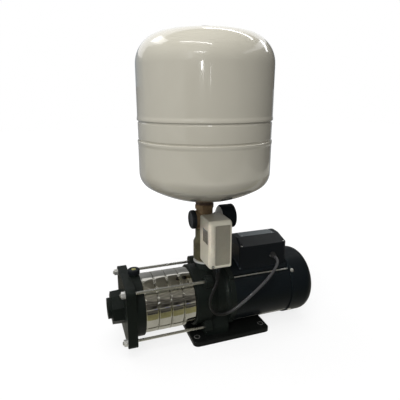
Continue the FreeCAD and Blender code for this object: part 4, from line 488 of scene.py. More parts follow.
@dataclass
class Form:
    """Corners and faces on their way to one mesh."""

    corners: list[Vector] = field(default_factory=list)
    faces: list[tuple[int, ...]] = field(default_factory=list)

    def row(self, corners: Iterable[Vector]) -> list[int]:
        """Add corners and give their numbers."""
        first = len(self.corners)
        self.corners += corners
        return list(range(first, len(self.corners)))

    def skin(self, rows: list[list[int]], ring: bool = False) -> "Form":
        """Join rows of corners, each closed round, by faces.

        Args:
            rows: The numbers of each row's corners. One corner that fills its row is a pole.
            ring: Whether the last row joins the first.

        Returns:
            This form.
        """
        for low, high in zip(rows, rows[1:] + rows[:1] if ring else rows[1:]):
            for step, ahead in enumerate([*range(1, len(low)), 0]):
                face = tuple(dict.fromkeys((low[step], low[ahead], high[ahead], high[step])))
                if len(face) > 2:
                    self.faces.append(face)
        return self

    def take(self, other: "Form", place: Matrix) -> "Form":
        """Add a copy of another form.

        Args:
            other: The form that is copied.
            place: Where the copy goes.

        Returns:
            This form.
        """
        numbers = self.row([place @ corner for corner in other.corners])
        self.faces += [tuple(numbers[spot] for spot in face) for face in other.faces]
        return self

    def build(self, name: str, sharp: float = 32.0) -> bpy.types.Object:
        """Make the mesh object, smooth between its sharp edges.

        Args:
            name: The object's name.
            sharp: The angle in degrees from which an edge stays sharp.

        Returns:
            The object, linked to the scene.
        """
        mesh = bpy.data.meshes.new(name)
        mesh.from_pydata(self.corners, [], self.faces)
        mesh.validate()
        mesh.shade_smooth()
        mesh.set_sharp_from_angle(angle=math.radians(sharp))
        made = bpy.data.objects.new(name, mesh)
        bpy.context.scene.collection.objects.link(made)
        return made


def polar(reach: float, angle: float, up: float) -> Vector:
    """Give the point at a distance and angle about +Z."""
    return Vector((reach * math.cos(angle), reach * math.sin(angle), up))


def quad(corners: Iterable[Vector]) -> Form:
    """Make one face of four corners."""
    return Form(list(corners), [(0, 1, 2, 3)])


def eased(profile: list[Row]) -> list[tuple[float, float]]:
    """Round the corners of an outline.

    Args:
        profile: Each corner's place along the axis, its radius, and how far it is rounded, if it is.

    Returns:
        The outline with an arc of short runs at each rounded corner.
    """
    runs, most = 5, 0.49
    points: list[tuple[float, float]] = []
    for index, (along, out, *ease) in enumerate(profile):
        if not ease:
            points.append((along, out))
            continue
        here = Vector((along, out))
        before = Vector(profile[index - 1][:2]) - here
        after = Vector(profile[(index + 1) % len(profile)][:2]) - here
        reach = min(ease[0], before.length * most, after.length * most)
        start = here + before.normalized() * reach
        end = here + after.normalized() * reach
        for share in (step / runs for step in range(runs + 1)):
            points.append(tuple(start * (1 - share) ** 2 + here * 2 * share * (1 - share) + end * share ** 2))
    return points


def spin(profile: list[Row], steps: int = 96, closed: bool = True, swell: Swell | None = None) -> Form:
    """Turn an outline about +Z.

    Args:
        profile: The outline's corners, as for eased.
        steps: How many steps go round.
        closed: Whether the outline is a closed loop.
        swell: What is added to the radius at a place along the axis, a radius and an angle.

    Returns:
        The turned form.
    """
    form = Form()
    rows: list[list[int]] = []
    angles = [2 * math.pi * step / steps for step in range(steps)]
    for along, out in eased(profile):
        if out < POLE_REACH:
            rows.append(form.row([Vector((0, 0, along))]) * steps)
        else:
            rows.append(form.row([
                polar(out + (swell(along, out, angle) if swell else 0.0), angle, along) for angle in angles]))
    return form.skin(rows, closed)


def helix_groove(depth: float, pitch: float, start: float, end: float) -> Swell:
    """Give the swell of a screw thread that is cut between two places along the axis."""
    def groove(along: float, out: float, angle: float) -> float:
        """Give the depth of the cut at one spot."""
        share = (along / pitch - angle / (2 * math.pi)) % 1.0
        fade = max(0.0, min(1.0, (along - start) / pitch, (end - along) / pitch))
        return -depth * abs(2 * share - 1) * fade
    return groove


def thread_rows(start: float, end: float, out: float, pitch: float) -> list[Row]:
    """List the rows of an outline that are close enough to carry a thread."""
    count = int((end - start) / pitch * 6)
    return [(start + (end - start) * row / count, out) for row in range(count + 1)]


def ribs(count: int, depth: float, start: float, end: float, least: float) -> Swell:
    """Give the swell of grip ribs on the outer wall of a cap.

    Args:
        count: How many ribs go round.
        depth: How deep the grooves between them are.
        start: Where along the axis they begin.
        end: Where they end.
        least: The radius from which a wall counts as the outer one.

    Returns:
        The swell.
    """
    def groove(along: float, out: float, angle: float) -> float:
        """Give the depth of the groove at one spot."""
        if out < least or not start < along < end:
            return 0.0
        return -depth * (0.5 - 0.5 * math.cos(count * angle)) ** 2
    return groove


def hexagon(flats: float, height: float, bore: float) -> Form:
    """Make a nut with chamfered corners on +Z.

    Args:
        flats: The width across the flats.
        height: The nut's height.
        bore: The radius of its hole.

    Returns:
        The nut.
    """
    steps = 60
    crown = flats / 2 * 0.96
    rings: list[list[Vector]] = [[] for _ in range(6)]
    for angle in (2 * math.pi * step / steps for step in range(steps)):
        out = flats / 2 / math.cos(angle % (math.pi / 3) - math.pi / 6)
        slope = (out - crown) * 0.55
        spots = ((bore, 0.0), (crown, 0.0), (out, slope), (out, height - slope), (crown, height),
                 (bore, height))
        for ring, (reach, up) in zip(rings, spots):
            ring.append(polar(reach, angle, up))
    form = Form()
    return form.skin([form.row(ring) for ring in rings], ring=True)


def cross_head(radius: float, dome: float, skirt: float) -> Form:
    """Make a domed screw head with a cross recess, on +Z.

    Args:
        radius: The head's radius.
        dome: How high it rises over its rim.
        skirt: The height of its rim.

    Returns:
        The head.
    """
    half = [0.0, 0.13, 0.19, 0.36, 0.56, 0.64, 0.84, 1.0]
    lines = [-line for line in reversed(half[1:])] + half
    count = len(lines)
    form = Form()
    for first, second in product(lines, repeat=2):
        across = first * math.sqrt(1 - second ** 2 / 2)
        along = second * math.sqrt(1 - first ** 2 / 2)
        low, high = sorted((abs(first), abs(second)))
        sunk = 0.9 * dome if low < 0.15 and high < 0.6 else 0.0
        up = skirt + dome * (1 - across ** 2 - along ** 2) - sunk
        form.corners.append(Vector((across * radius, along * radius, up)))
    for row, column in product(range(count - 1), repeat=2):
        here = row * count + column
        form.faces.append((here, here + count, here + count + 1, here + 1))
    last = count * count - 1
    rim = [*range(count), *range(2 * count - 1, last + 1, count), *range(last - 1, last - count, -1),
           *range((count - 2) * count, 0, -count)]
    foot = form.row([Vector((form.corners[spot].x, form.corners[spot].y, 0.0)) for spot in rim])
    return form.skin([rim, foot])


def screw(radius: float, dome: float, skirt: float, shank: Row) -> Form:
    """Make a screw: its head, and its shank of a given length and radius in millimetres."""
    length, out = shank
    body = spin(mm((-length, 0), (-length, out), (0.1, out)), 16, False)
    return cross_head(radius, dome, skirt).take(body, Matrix())


def rounded_box(sides: Row, corner: float, steps: int) -> list[tuple[float, float]]:
    """List the spots of a rectangle with rounded corners.

    Args:
        sides: Its left, right, low and high side.
        corner: The radius of its corners.
        steps: How many steps make one corner.

    Returns:
        The spots, from the right side up and round.
    """
    left, right, low, high = sides
    middles = ((right - corner, high - corner), (left + corner, high - corner),
               (left + corner, low + corner), (right - corner, low + corner))
    spots = []
    for turn, (across, up) in enumerate(middles):
        for step in range(steps + 1):
            angle = math.pi / 2 * (turn + step / steps)
            spots.append((across + corner * math.cos(angle), up + corner * math.sin(angle)))
    return spots


def rounded_frame(half: tuple[float, float], corner: float, width: float, height: float) -> Form:
    """Make a raised frame with rounded corners, flat on the XY plane.

    Args:
        half: Half its outer length and width.
        corner: The radius of its outer corners.
        width: The width of its bar.
        height: How high it stands.

    Returns:
        The frame.
    """
    form = Form()
    rows = []
    for inset, up in ((0.0, 0.0), (width * 0.2, height), (width * 0.8, height), (width, 0.0)):
        reach = max(corner - inset, 0.0001)
        across, along = (length - corner + reach for length in half)
        spots = rounded_box((-across, across, -along, along), reach, 6)
        rows.append(form.row([Vector((*spot, up)) for spot in spots]))
    return form.skin(rows)


def shell_rows(rows: list[Row], ring: bool = False) -> Form:
    """Make a moulded box from rectangles with rounded corners, one in front of the other.

    Args:
        rows: Each rectangle's left, right, low and high side, its place along Y and its corner radius.
        ring: True where the last rectangle joins the first one, or else each of the two is closed.

    Returns:
        The shell.
    """
    form = Form()
    loops = [form.row([Vector((across, depth, up)) for across, up in rounded_box(sides, corner, 7)])
             for *sides, depth, corner in rows]
    if not ring:
        form.faces += [tuple(loops[0]), tuple(reversed(loops[-1]))]
    return form.skin(loops, ring)


def figure(text: str, size: float) -> Form:
    """Make a flat printed figure on the XY plane, centred on the origin."""
    line = bpy.data.curves.new("figure", "FONT")
    line.body = text
    line.size = size
    line.align_x = "CENTER"
    line.align_y = "CENTER"
    line.extrude = 0.00003
    holder = bpy.data.objects.new("figure", line)
    bpy.context.scene.collection.objects.link(holder)
    mesh = bpy.data.meshes.new_from_object(holder.evaluated_get(bpy.context.evaluated_depsgraph_get()))
    form = Form([vertex.co.copy() for vertex in mesh.vertices],
                [tuple(face.vertices) for face in mesh.polygons])
    bpy.data.objects.remove(holder)
    bpy.data.curves.remove(line)
    bpy.data.meshes.remove(mesh)
    return form


class Workshop:
    """The loaded model with its finishes, and the ways to put pieces on it."""

    def __init__(self, frame: dict) -> None:
        """Build every finish and dress the nodes that stay as they are packed.

        Args:
            frame: The loaded model.
        """
        effects = Effects()
        self.slots = {finish.name: finish.slot for finish in FINISHES}
        self.materials = {
            finish.name: shaded(finish.name, partial(finish.surface, effects)) for finish in FINISHES}
        self.materials["clear_pane"] = shaded("clear_pane", clear_surface)
        for finish, names in DRESSED_NODES.items():
            for name in names:
                for slot in frame["nodes"][name].material_slots:
                    slot.link = "OBJECT"
                    slot.material = self.materials[finish]
                LOG.info("%s dressed in %s", name, finish)

    def add(self, piece: bpy.types.Object, finish: str, replaced: str = "", body: str = "pump",
            slot: str = "") -> None:
        """Put a new piece on a body of the model.

        Args:
            piece: The new object, in place.
            finish: The name of its finish.
            replaced: The model node that it stands for, if it does.
            body: The body that it rides on.
            slot: The record's material slot, if not the finish's own; not used.
        """
        piece.data.materials.clear()
        piece.data.materials.append(self.materials[finish])
        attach(piece, body)
        if replaced:
            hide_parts(replaced)
        slot or self.slots[finish]
        LOG.info("%s added in %s", piece.name, finish)

    def seat(self, name: str, finish: str, form: Form, run: Run, base: Point, replaced: str = "",
             **more: str) -> None:
        """Put a form made on +Z on the model.

        Args:
            name: The new piece's name.
            finish: The name of its finish.
            form: The form.
            run: The direction that its axis takes.
            base: The point that its origin takes.
            replaced: The model node that it stands for, if it does.
            **more: Its body or slot, as for add.
        """
        self.add(Form().take(form, run.at(base)).build(name), finish, replaced, **more)


# The assemblies


@dataclass
class Tank:
    """The pressure tank: two drawn shells with rolled rims over a recessed band."""

    radius: float = 0.140
    height: float = 0.344
    low_end: tuple[float, float] = (0.236, 0.035)
    top_end: tuple[float, float] = (0.518, 0.060)
    band_low: float = 0.1317
    band_high: float = 0.1709
    band_radius: float = 0.1384
    rim_rise: float = 0.0009
    groove: float = 0.0015
    port: float = 0.0198
    valve_hole: float = 0.0051
    cap_base: float = 0.659
    steps: int = 160
    dome_steps: int = 14
    knuckle_steps: int = 12

    def dish(self, crown: float, knuckle: float) -> list[Row]:
        """List heights and radii of a dished end, from its pole to a little up its wall.

        Args:
            crown: The radius of the broad dome.
            knuckle: The radius of the turn into the wall.

        Returns:
            The rows, the pole first.
        """
        wall = self.radius - self.rim_rise
        lean = math.asin((wall - knuckle) / (crown - knuckle))
        arc = [lean * step / self.dome_steps for step in range(self.dome_steps + 1)]
        points = [(crown * (1 - math.cos(angle)), crown * math.sin(angle)) for angle in arc]
        depth = crown - (crown - knuckle) * math.cos(lean)
        for step in range(1, self.knuckle_steps + 1):
            angle = lean + (math.pi / 2 - lean) * step / self.knuckle_steps
            points.append((depth - knuckle * math.cos(angle), wall - knuckle + knuckle * math.sin(angle)))
        return points + [(depth + 0.003, wall)]

    def rim(self, level: float, away: float) -> list[Row]:
        """List the corners of a rolled rim.

        Args:
            level: The height of the rim's edge.
            away: +1 where the shell lies above the rim, -1 where it lies below.

        Returns:
            The corners from the shell's wall to its hidden lap.
        """
        wall = self.radius - self.rim_rise
        lap = self.band_radius - self.groove
        return [
            (level + away * 0.013, wall),
            (level + away * 0.009, wall, 0.002),
            (level + away * 0.0045, self.radius, 0.0015),
            (level + away * 0.0008, self.radius, 0.0008),
            (level, self.radius - 0.0014, 0.0006),
            (level + away * 0.0006, lap),
            (level + away * 0.02, lap),
        ]

    def build(self, shop: Workshop) -> None:
        """Make the two shells, the band and the cap of the air valve.

        Args:
            shop: The dressed model.
        """
        crown = self.low_end[0]
        sag = crown - math.sqrt(crown ** 2 - self.port ** 2)
        low = [(sag, self.port)] + [row for row in self.dish(*self.low_end) if row[1] > self.port]
        top = [(self.height, self.valve_hole)] + [
            (self.height - up, out) for up, out in self.dish(*self.top_end) if out > self.valve_hole]
        lap = self.band_radius - self.groove
        band = [
            (self.band_low - 0.006, lap - 0.0003),
            (self.band_low + 0.0016, lap, 0.001),
            (self.band_low + 0.0036, self.band_radius, 0.001),
            (self.band_high - 0.0046, self.band_radius, 0.001),
            (self.band_high - 0.0022, lap, 0.001),
            (self.band_high + 0.006, lap - 0.0003),
        ]
        for name, node, outline in (
                ("tank_bottom_skin", "tank_lower_shell", low + self.rim(self.band_low, -1)),
                ("tank_top_skin", "tank_upper_shell", (top + self.rim(self.band_high, 1))[::-1]),
                ("tank_band_skin", "tank_band", band)):
            shop.seat(name, "tank_enamel", spin(outline, self.steps, False), Run.UP,
                      (0.0, 0.0, TANK_BASE), node)
        cap = mm((0, 15.2), (0, 17.8, 0.3), (1.2, 18, 0.4), (4, 17.6, 1.4), (5.4, 15, 1.2), (5.5, 10, 1),
                 (5.1, 0))
        shop.seat("air_cap_skin", "black_moulding", spin(cap, 120, False, ribs(
            40, 0.0004, 0.0004, 0.0042, 0.0172)), Run.UP, (0.0, 0.0, self.cap_base), "air_valve_cap")


@dataclass
class PumpEnd:
    """The pump: two castings, the polished rings between them and the four tie rods."""

    ring_start: float = -0.1515
    ring_length: float = 0.028
    ring_count: int = 4
    rod_start: float = -0.2016
    rod_length: float = 0.1935
    rod_offset: float = 0.0558
    rod_radius: float = 0.004
    shank_radius: float = 0.0031
    rod_pitch: float = 0.00125
    rod_cut: float = 0.0115
    rod_groove: float = 0.0006
    nut_start: float = -0.1991
    nut_flats: float = 0.013
    nut_height: float = 0.0065
    nut_turns: tuple[float, ...] = (12.0, 41.0, 27.0, 3.0)
    port_face: float = -0.224
    port_bore: float = 0.0151
    port_pitch: float = 0.0023
    port_cut: tuple[float, float] = (0.0012, 0.019)
    port_groove: float = 0.0011
    fill_place: Point = (-0.163, 0.0, 0.150)
    foot_top: float = 0.01
    bolt_alongs: tuple[float, float] = (-0.037, 0.123)
    bolt_across: float = 0.055

    def build(self, shop: Workshop) -> None:
        """Make the rings, rods, nuts, inlet thread, plug, and the rings round the foot plate's holes that
        paint their glints.

        Args:
            shop: The dressed model.
        """
        self.rings(shop)
        self.rods(shop)
        self.openings(shop)
        self.painted_hole_glints(shop)

    def rings(self, shop: Workshop) -> None:
        """Make the polished rings, each with a rolled bead at its front edge."""
        ring = spin(mm(
            (0, 63), (0, 63.8, 0.3), (0.5, 65, 0.4), (1.7, 65, 0.5), (2.4, 64.4, 0.4), (3.4, 64.7, 0.8),
            (14, 65, 4), (25.8, 64.7, 1), (27.4, 63.8, 0.4), (28, 62.9), (31, 62.9, 0.3), (31, 61),
            (25, 61), (25, 63)), 180)
        for number in range(self.ring_count):
            place = (self.ring_start + number * self.ring_length, 0.0, SHAFT_HEIGHT)
            shop.seat(f"stage_skin_{number + 1}", "mirror_steel", ring, Run.ALONG_SHAFT, place,
                      f"stage_ring_{number + 1}")

    def rods(self, shop: Workshop) -> None:
        """Make the four rods with their cut threads, and a nut and a washer on each."""
        rod = spin([
            *mm((0, 0), (0, 3.2), (0.6, 3.8)),
            *thread_rows(0.0007, self.rod_cut, self.rod_radius, self.rod_pitch),
            (self.rod_cut + 0.001, self.shank_radius), (self.rod_length, self.shank_radius),
            (self.rod_length, 0.0),
        ], 36, False, helix_groove(self.rod_groove, self.rod_pitch, 0.0, self.rod_cut))
        nut = hexagon(self.nut_flats, self.nut_height, self.rod_radius - self.rod_groove / 2)
        washer = spin(mm((0, 4), (0, 8, 0.3), (1.6, 8, 0.3), (1.6, 4)), 48)
        rods, nuts = Form(), Form()
        for turn, (across, up) in zip(self.nut_turns, product((-1, 1), repeat=2)):
            spot = Vector((0.0, across * self.rod_offset, SHAFT_HEIGHT + up * self.rod_offset))
            rods.take(rod, Run.ALONG_SHAFT.at(spot + Vector((self.rod_start, 0, 0))))
            seat = Run.ALONG_SHAFT.at(spot + Vector((self.nut_start, 0, 0)))
            nuts.take(nut, seat @ Matrix.Rotation(math.radians(turn), 4, "Z"))
            nuts.take(washer, seat @ Matrix.Translation((0, 0, self.nut_height)))
        shop.add(rods.build("tie_rod_set"), "drawn_steel", "tie_rods")
        shop.add(nuts.build("tie_rod_nut_set"), "zinc_plate", "tie_rod_nuts")

    def openings(self, shop: Workshop) -> None:
        """Make the thread in the inlet and the ribbed filling plug."""
        wall = self.port_bore + 0.0001
        turns = spin([
            (0.0, wall), *thread_rows(*self.port_cut, self.port_bore, self.port_pitch), (0.020, wall),
        ], 72, False, helix_groove(self.port_groove, self.port_pitch, *self.port_cut))
        shop.seat("inlet_thread", "black_casting_paint", turns, Run.ALONG_SHAFT,
                  (self.port_face, 0.0, SHAFT_HEIGHT))
        plug = mm((0, 3), (0, 6.5, 0.5), (12, 6.5), (12, 12.6, 0.4), (12.8, 13, 0.3), (20.5, 13, 1),
                  (22, 11.8, 1), (22, 5.6, 0.5), (19.2, 5.4), (19.2, 3))
        shop.seat("fill_plug_skin", "black_moulding", spin(plug, 144, True, ribs(
            24, 0.0007, 0.0122, 0.0212, 0.0122)), Run.UP, self.fill_place, "fill_plug")

    def painted_hole_glints(self, shop: Workshop) -> None:
        """Make a ring of bare steel round each hole of the foot plate, as a washer leaves it; its light tone
        is a painted highlight for the glint on the hole's rim.
        """
        glint_ring = spin(mm((0, 7.2), (0.12, 7.1), (0.12, 5.15), (0, 5.05)), 48)
        glint_rings = Form()
        for along, side in product(self.bolt_alongs, (-1, 1)):
            glint_rings.take(glint_ring, Run.UP.at((along, side * self.bolt_across, self.foot_top)))
        shop.add(glint_rings.build("foot_hole_painted_glints"), "glint_painted_steel")


@dataclass
class Motor:
    """The motor with its fan cover and terminal box."""

    cover_screw_place: float = 0.197
    cover_radius: float = 0.0791
    cover_screw_turns: tuple[float, ...] = (50.0, 130.0, 230.0, 310.0)
    lid_screw_alongs: tuple[float, float] = (0.075, 0.1825)
    lid_screw_side: float = 0.038
    lid_screw_seat: float = 0.206
    plate_middle: Point = (0.12875, 0.0, 0.2197)
    plate_half: tuple[float, float] = (0.0421, 0.0123)
    rivet_inset: float = 0.0032
    gland_place: Point = (0.153, -0.0435, 0.178)

    def build(self, shop: Workshop) -> None:
        """Make the screws, the plate's trim and the grommet of the cable entry.

        Args:
            shop: The dressed model.
        """
        self.screws(shop)
        self.plate_trim(shop)
        grommet = mm(
            (-4, 3.6), (-4, 6), (0, 6), (0, 7.5, 0.4), (2.2, 7.5, 1), (3, 6.1, 0.6), (5.5, 5.6, 0.5),
            (6.2, 5, 0.3), (7, 5.5, 0.3), (8.6, 5.3, 0.3), (9.3, 4.7, 0.3), (10.1, 5.1, 0.3),
            (11.7, 4.9, 0.3), (12.4, 4.5, 0.3), (13.6, 4.6, 0.4), (13.6, 3.6))
        shop.seat("motor_grommet", "black_rubber", spin(grommet, 48), Run.TOWARDS_SWITCH,
                  self.gland_place, "motor_gland", slot="black_polymer")

    def screws(self, shop: Workshop) -> None:
        """Make the cross-head screws of the fan cover and of the terminal box."""
        dome = screw(0.0046, 0.0018, 0.0004, (6, 1.6))
        cover = Form()
        for turn in self.cover_screw_turns:
            place = Matrix.Translation((self.cover_screw_place, 0.0, SHAFT_HEIGHT))
            place = place @ Matrix.Rotation(math.radians(turn), 4, "X")
            place = place @ Matrix.Translation((0.0, 0.0, self.cover_radius))
            cover.take(dome, place @ Matrix.Rotation(math.radians(turn * 1.7), 4, "Z"))
        shop.add(cover.build("fan_cover_screw_heads"), "bright_plate", "fan_cover_screws")
        small = screw(0.003, 0.001, 0.0005, (21, 1.5))
        lid = Form()
        for along, side in product(self.lid_screw_alongs, (-1, 1)):
            place = Run.UP.at((along, side * self.lid_screw_side, self.lid_screw_seat))
            lid.take(small, place @ Matrix.Rotation(along * 9 + side, 4, "Z"))
        shop.add(lid.build("terminal_box_screw_heads"), "bright_plate", "terminal_box_screws")

    def plate_trim(self, shop: Workshop) -> None:
        """Put a pressed frame line and four rivets on the bare plate."""
        frame = rounded_frame(self.plate_half, 0.003, 0.0007, 0.00012)
        shop.seat("plate_frame_line", "satin_aluminium", frame, Run.UP, self.plate_middle)
        rivet = spin(mm((0, 1.3), (0.3, 1.3, 0.2), (0.7, 0.8, 0.4), (0.8, 0)), 24, False)
        rivets = Form()
        for sides in product((-1, 1), repeat=2):
            along, across = (side * (half - self.rivet_inset) for side, half in zip(sides, self.plate_half))
            rivets.take(rivet, Run.UP.at(Vector(self.plate_middle) + Vector((along, across, 0.0))))
        shop.add(rivets.build("plate_rivets"), "bright_plate")


@dataclass
class BrassStack:
    """The outlet cap and the gauge on the brass fitting."""

    cap_start: float = -0.0231
    gauge_start: float = 0.036
    dial_face: float = 0.0608
    hub_start: float = 0.0630
    tick_radius: float = 0.0225
    print_rise: float = 0.00008
    short_tick: tuple[float, float] = (0.0016, 0.00015)
    long_tick: tuple[float, float] = (0.0032, 0.00032)
    figure_radius: float = 0.0161
    figure_size: float = 0.0046
    divisions: int = 50
    divisions_per_unit: int = 5
    first_angle: float = -135.0
    sweep: float = 270.0

    def build(self, shop: Workshop) -> None:
        """Make the ribbed outlet cap, the gauge's pressed case and its dial.

        Args:
            shop: The dressed model.
        """
        cap = mm((0, 15.5), (0, 20.3, 0.6), (1, 21, 0.5), (6.6, 21, 1.6), (9.6, 19, 1.4), (9.9, 15.8, 0.8),
                 (8.8, 14, 0.8), (8.6, 0))
        shop.seat("outlet_cap_skin", "black_moulding", spin(cap, 180, False, ribs(
            36, 0.0006, 0.0008, 0.0075, 0.0196)), Run.AGAINST_SHAFT,
            (self.cap_start, 0.0, FITTING_LEVEL), "outlet_cap")
        case = mm(
            (0, 6.2), (0, 24, 1), (3, 27, 2.2), (22.2, 27, 0.3), (22.6, 26.3, 0.2), (23.2, 26.3, 0.2),
            (23.6, 27, 0.3), (30.8, 27, 1.1), (32, 25.8, 0.6), (31.6, 24.2, 0.3), (30.5, 24),
            (30.5, 25.5), (24, 25.5), (20, 22.5), (3, 22.5), (3, 6.2))
        shop.seat("gauge_case_skin", "black_shell_paint", spin(case, 120), Run.ALONG_SHAFT,
                  (self.gauge_start, 0.0, FITTING_LEVEL), "gauge_case", slot="dark_steel")
        self.dial(shop)
        hub = spin(mm((0, 2.4), (0.6, 2.4, 0.3), (0.9, 1.4, 0.3), (1, 0)), 32, False)
        shop.seat("needle_hub", "aged_brass", hub, Run.ALONG_SHAFT, (self.hub_start, 0.0, FITTING_LEVEL),
                  body="gauge_needle")

    def dial(self, shop: Workshop) -> None:
        """Print the dial: a scale of short lines and the figures 0 to 10."""
        ticks, figures = Form(), Form()
        face = Run.UPRIGHT_TO_MOTOR.at((self.dial_face, 0.0, FITTING_LEVEL))
        for number in range(self.divisions + 1):
            angle = math.radians(90.0 - self.first_angle - self.sweep * number / self.divisions)
            length, half = self.short_tick if number % self.divisions_per_unit else self.long_tick
            tick = quad(Vector((self.tick_radius - length * far, half * side, self.print_rise))
                        for far, side in ((0, -1), (0, 1), (1, 1), (1, -1)))
            ticks.take(tick, face @ Matrix.Rotation(angle, 4, "Z"))
            if number % (2 * self.divisions_per_unit) == 0:
                spot = polar(self.figure_radius, angle, self.print_rise)
                text = figure(str(number // self.divisions_per_unit), self.figure_size)
                figures.take(text, face @ Matrix.Translation(spot))
        shop.add(ticks.build("dial_scale"), "needle_paint")
        shop.add(figures.build("dial_figures"), "needle_paint")


@dataclass
class PressureSwitch:
    """The pressure switch with its moulded cover."""

    window_middle: Point = (-0.01898, -0.058, 0.250)
    window_half: float = 0.0162
    screw_place: Point = (-0.0112, -0.084, 0.1892)
    gland_place: Point = (0.006, -0.068, 0.184)

    def build(self, shop: Workshop) -> None:
        """Make the cover, its window's frame, its screw and the gland.

        Args:
            shop: The dressed model.
        """
        self.cover(shop)
        frame = rounded_frame((self.window_half, self.window_half), 0.0016, 0.0013, 0.0004)
        shop.seat("window_frame", "cream_moulding", frame, Run.UPRIGHT_TO_INLET, self.window_middle)
        # Painted shade: a thin dark disc round the screw head stands in for the shade of its hollow.
        shade_disc = spin(mm((0, 3.1), (0.1, 2.9), (0.1, 0)), 32, False)
        shop.seat("cover_screw_painted_shade", "screw_hollow_painted_shade", shade_disc, Run.TOWARDS_SWITCH, self.screw_place)
        shop.seat("cover_screw_head", "zinc_plate", cross_head(0.0014, 0.0004, 0.0002),
                  Run.TOWARDS_SWITCH, self.screw_place)
        self.gland(shop)

    @staticmethod
    def cover(shop: Workshop) -> None:
        """Make the cover in three pieces: its shell, its front rim in a lighter cream that paints a highlight
        on its bevel, and a darker sheet in its recess that paints shade on the front panel.
        """
        shell = mm(
            (-17.5, 29.5, 186, 285, -74.4, 3), (-17.5, 29.5, 186, 285, -26, 3),
            (-19, 31.5, 184, 287, -26, 4), (-19, 31.5, 184, 287, -74.4, 4))
        # The rim's lighter cream is a painted highlight on its rounded bevel.
        rim = mm(
            (-17.5, 29.5, 186, 285, -78, 3), (-17.5, 29.5, 186, 285, -74.5, 3),
            (-19, 31.5, 184, 287, -74.5, 4), (-18.9, 31.4, 184.1, 286.6, -76.8, 4),
            (-18.7, 31.1, 184.3, 285.3, -79.2, 4), (-18.2, 30.7, 184.6, 283.4, -81.5, 3.8),
            (-17.4, 30.1, 185.1, 281.5, -83.1, 3.6), (-16, 29.5, 186, 279.6, -84, 3.4),
            (-6.8, 28.2, 189.7, 278.8, -84, 2.5), (-6.3, 27.8, 190.1, 278.4, -83.6, 2.2),
            (-6, 27.5, 190.4, 278.1, -82.4, 2))
        # Painted shade: a thin darker sheet in the recess stands in for the shade on the front panel.
        recess_shade_sheet = mm(
            (-5.6, 27.1, 190.8, 277.7, -82, 2), (-5.6, 27.1, 190.8, 277.7, -82.6, 2),
            (-5.5, 27, 190.9, 277.6, -82.7, 2))
        shop.add(shell_rows(shell, ring=True).build("switch_cover_shell", 40.0), "cream_moulding",
                 "switch_cover")
        shop.add(shell_rows(rim).build("switch_cover_rim", 40.0), "cream_rim_painted_highlight")
        shop.add(shell_rows(recess_shade_sheet).build("cover_recess_painted_shade", 40.0), "recess_painted_shade")

    def gland(self, shop: Workshop) -> None:
        """Make the hexagon gland with its dome nut and tapered sleeve."""
        gland = spin(mm((-3.2, 3.6), (-3.2, 6), (0.2, 6), (0.2, 3.6)), 48)
        sleeve = mm((4, 3.6), (4, 6.2, 0.3), (6.2, 6.2, 1.2), (8.2, 5, 0.6), (11, 4.7, 0.3), (15, 4.3, 0.4),
                    (15, 3.6))
        gland.take(hexagon(0.0131, 0.0042, 0.0036), Matrix())
        gland.take(spin(sleeve, 48, True, ribs(16, 0.0004, 0.0041, 0.0066, 0.0058)), Matrix())
        shop.seat("switch_gland_nut", "black_moulding", gland, Run.DOWN, self.gland_place, "switch_gland")


@dataclass
class SwitchCable:
    """The free cable from the motor's gland to the switch's gland."""

    radius: float = 0.0033
    length: float = 0.326
    route: tuple[Point, ...] = (
        (0.153, -0.0495, 0.178), (0.152, -0.067, 0.178), (0.147, -0.078, 0.168), (0.126, -0.084, 0.146),
        (0.099, -0.088, 0.126), (0.072, -0.090, 0.107), (0.046, -0.091, 0.090), (0.022, -0.092, 0.079),
        (-0.003, -0.091, 0.079), (-0.018, -0.089, 0.097), (-0.019, -0.086, 0.119),
        (-0.007, -0.081, 0.136), (0.006, -0.068, 0.150), (0.006, -0.068, 0.174),
    )

    def build(self, shop: Workshop) -> None:
        """Lay the cable along its route.

        Args:
            shop: The dressed model.
        """
        line = bpy.data.curves.new("cable_line", "CURVE")
        line.dimensions = "3D"
        line.bevel_depth = self.radius
        line.bevel_resolution = 6
        line.resolution_u = 12
        line.use_fill_caps = True
        spline = line.splines.new("NURBS")
        spline.points.add(len(self.route) - 1)
        for spot, place in zip(spline.points, self.route):
            spot.co = (*place, 1.0)
        spline.order_u = 3
        spline.use_endpoint_u = True
        cable = bpy.data.objects.new("switch_cable_run", line)
        bpy.context.scene.collection.objects.link(cable)
        shop.add(cable, "cable_sheath_skin", "switch_cable")
        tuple(self.route[0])


# The studio


@dataclass(frozen=True)
class Lamp:
    """A long lamp between two points, turned to the object."""

    name: str
    start: Point
    end: Point
    width: float
    power: float
    mirrored: bool = True
    spread: float = 180.0
    aim: Point = (0.0, 0.0, 0.45)

    def hang(self) -> None:
        """Add the lamp to the scene."""
        start, end = Vector(self.start), Vector(self.end)
        middle = (start + end) / 2
        back = (middle - Vector(self.aim)).normalized()
        along = end - start
        along = (along - back * along.dot(back)).normalized()
        turn = Matrix((along, back.cross(along), back)).transposed().to_4x4()
        data = bpy.data.lights.new(self.name, "AREA")
        data.shape = "RECTANGLE"
        data.size = (end - start).length
        data.size_y = self.width
        data.energy = self.power
        data.spread = math.radians(self.spread)
        made = bpy.data.objects.new(self.name, data)
        made.matrix_world = Matrix.Translation(middle) @ turn
        made.visible_glossy = self.mirrored
        bpy.context.scene.collection.objects.link(made)


class Facing(Enum):
    """The way that a board faces, as its turn about X, Y and Z in degrees."""

    FRONT = (90.0, 0.0, 0.0)
    SIDE = (0.0, 90.0, 0.0)
    UP = (0.0, 0.0, 0.0)


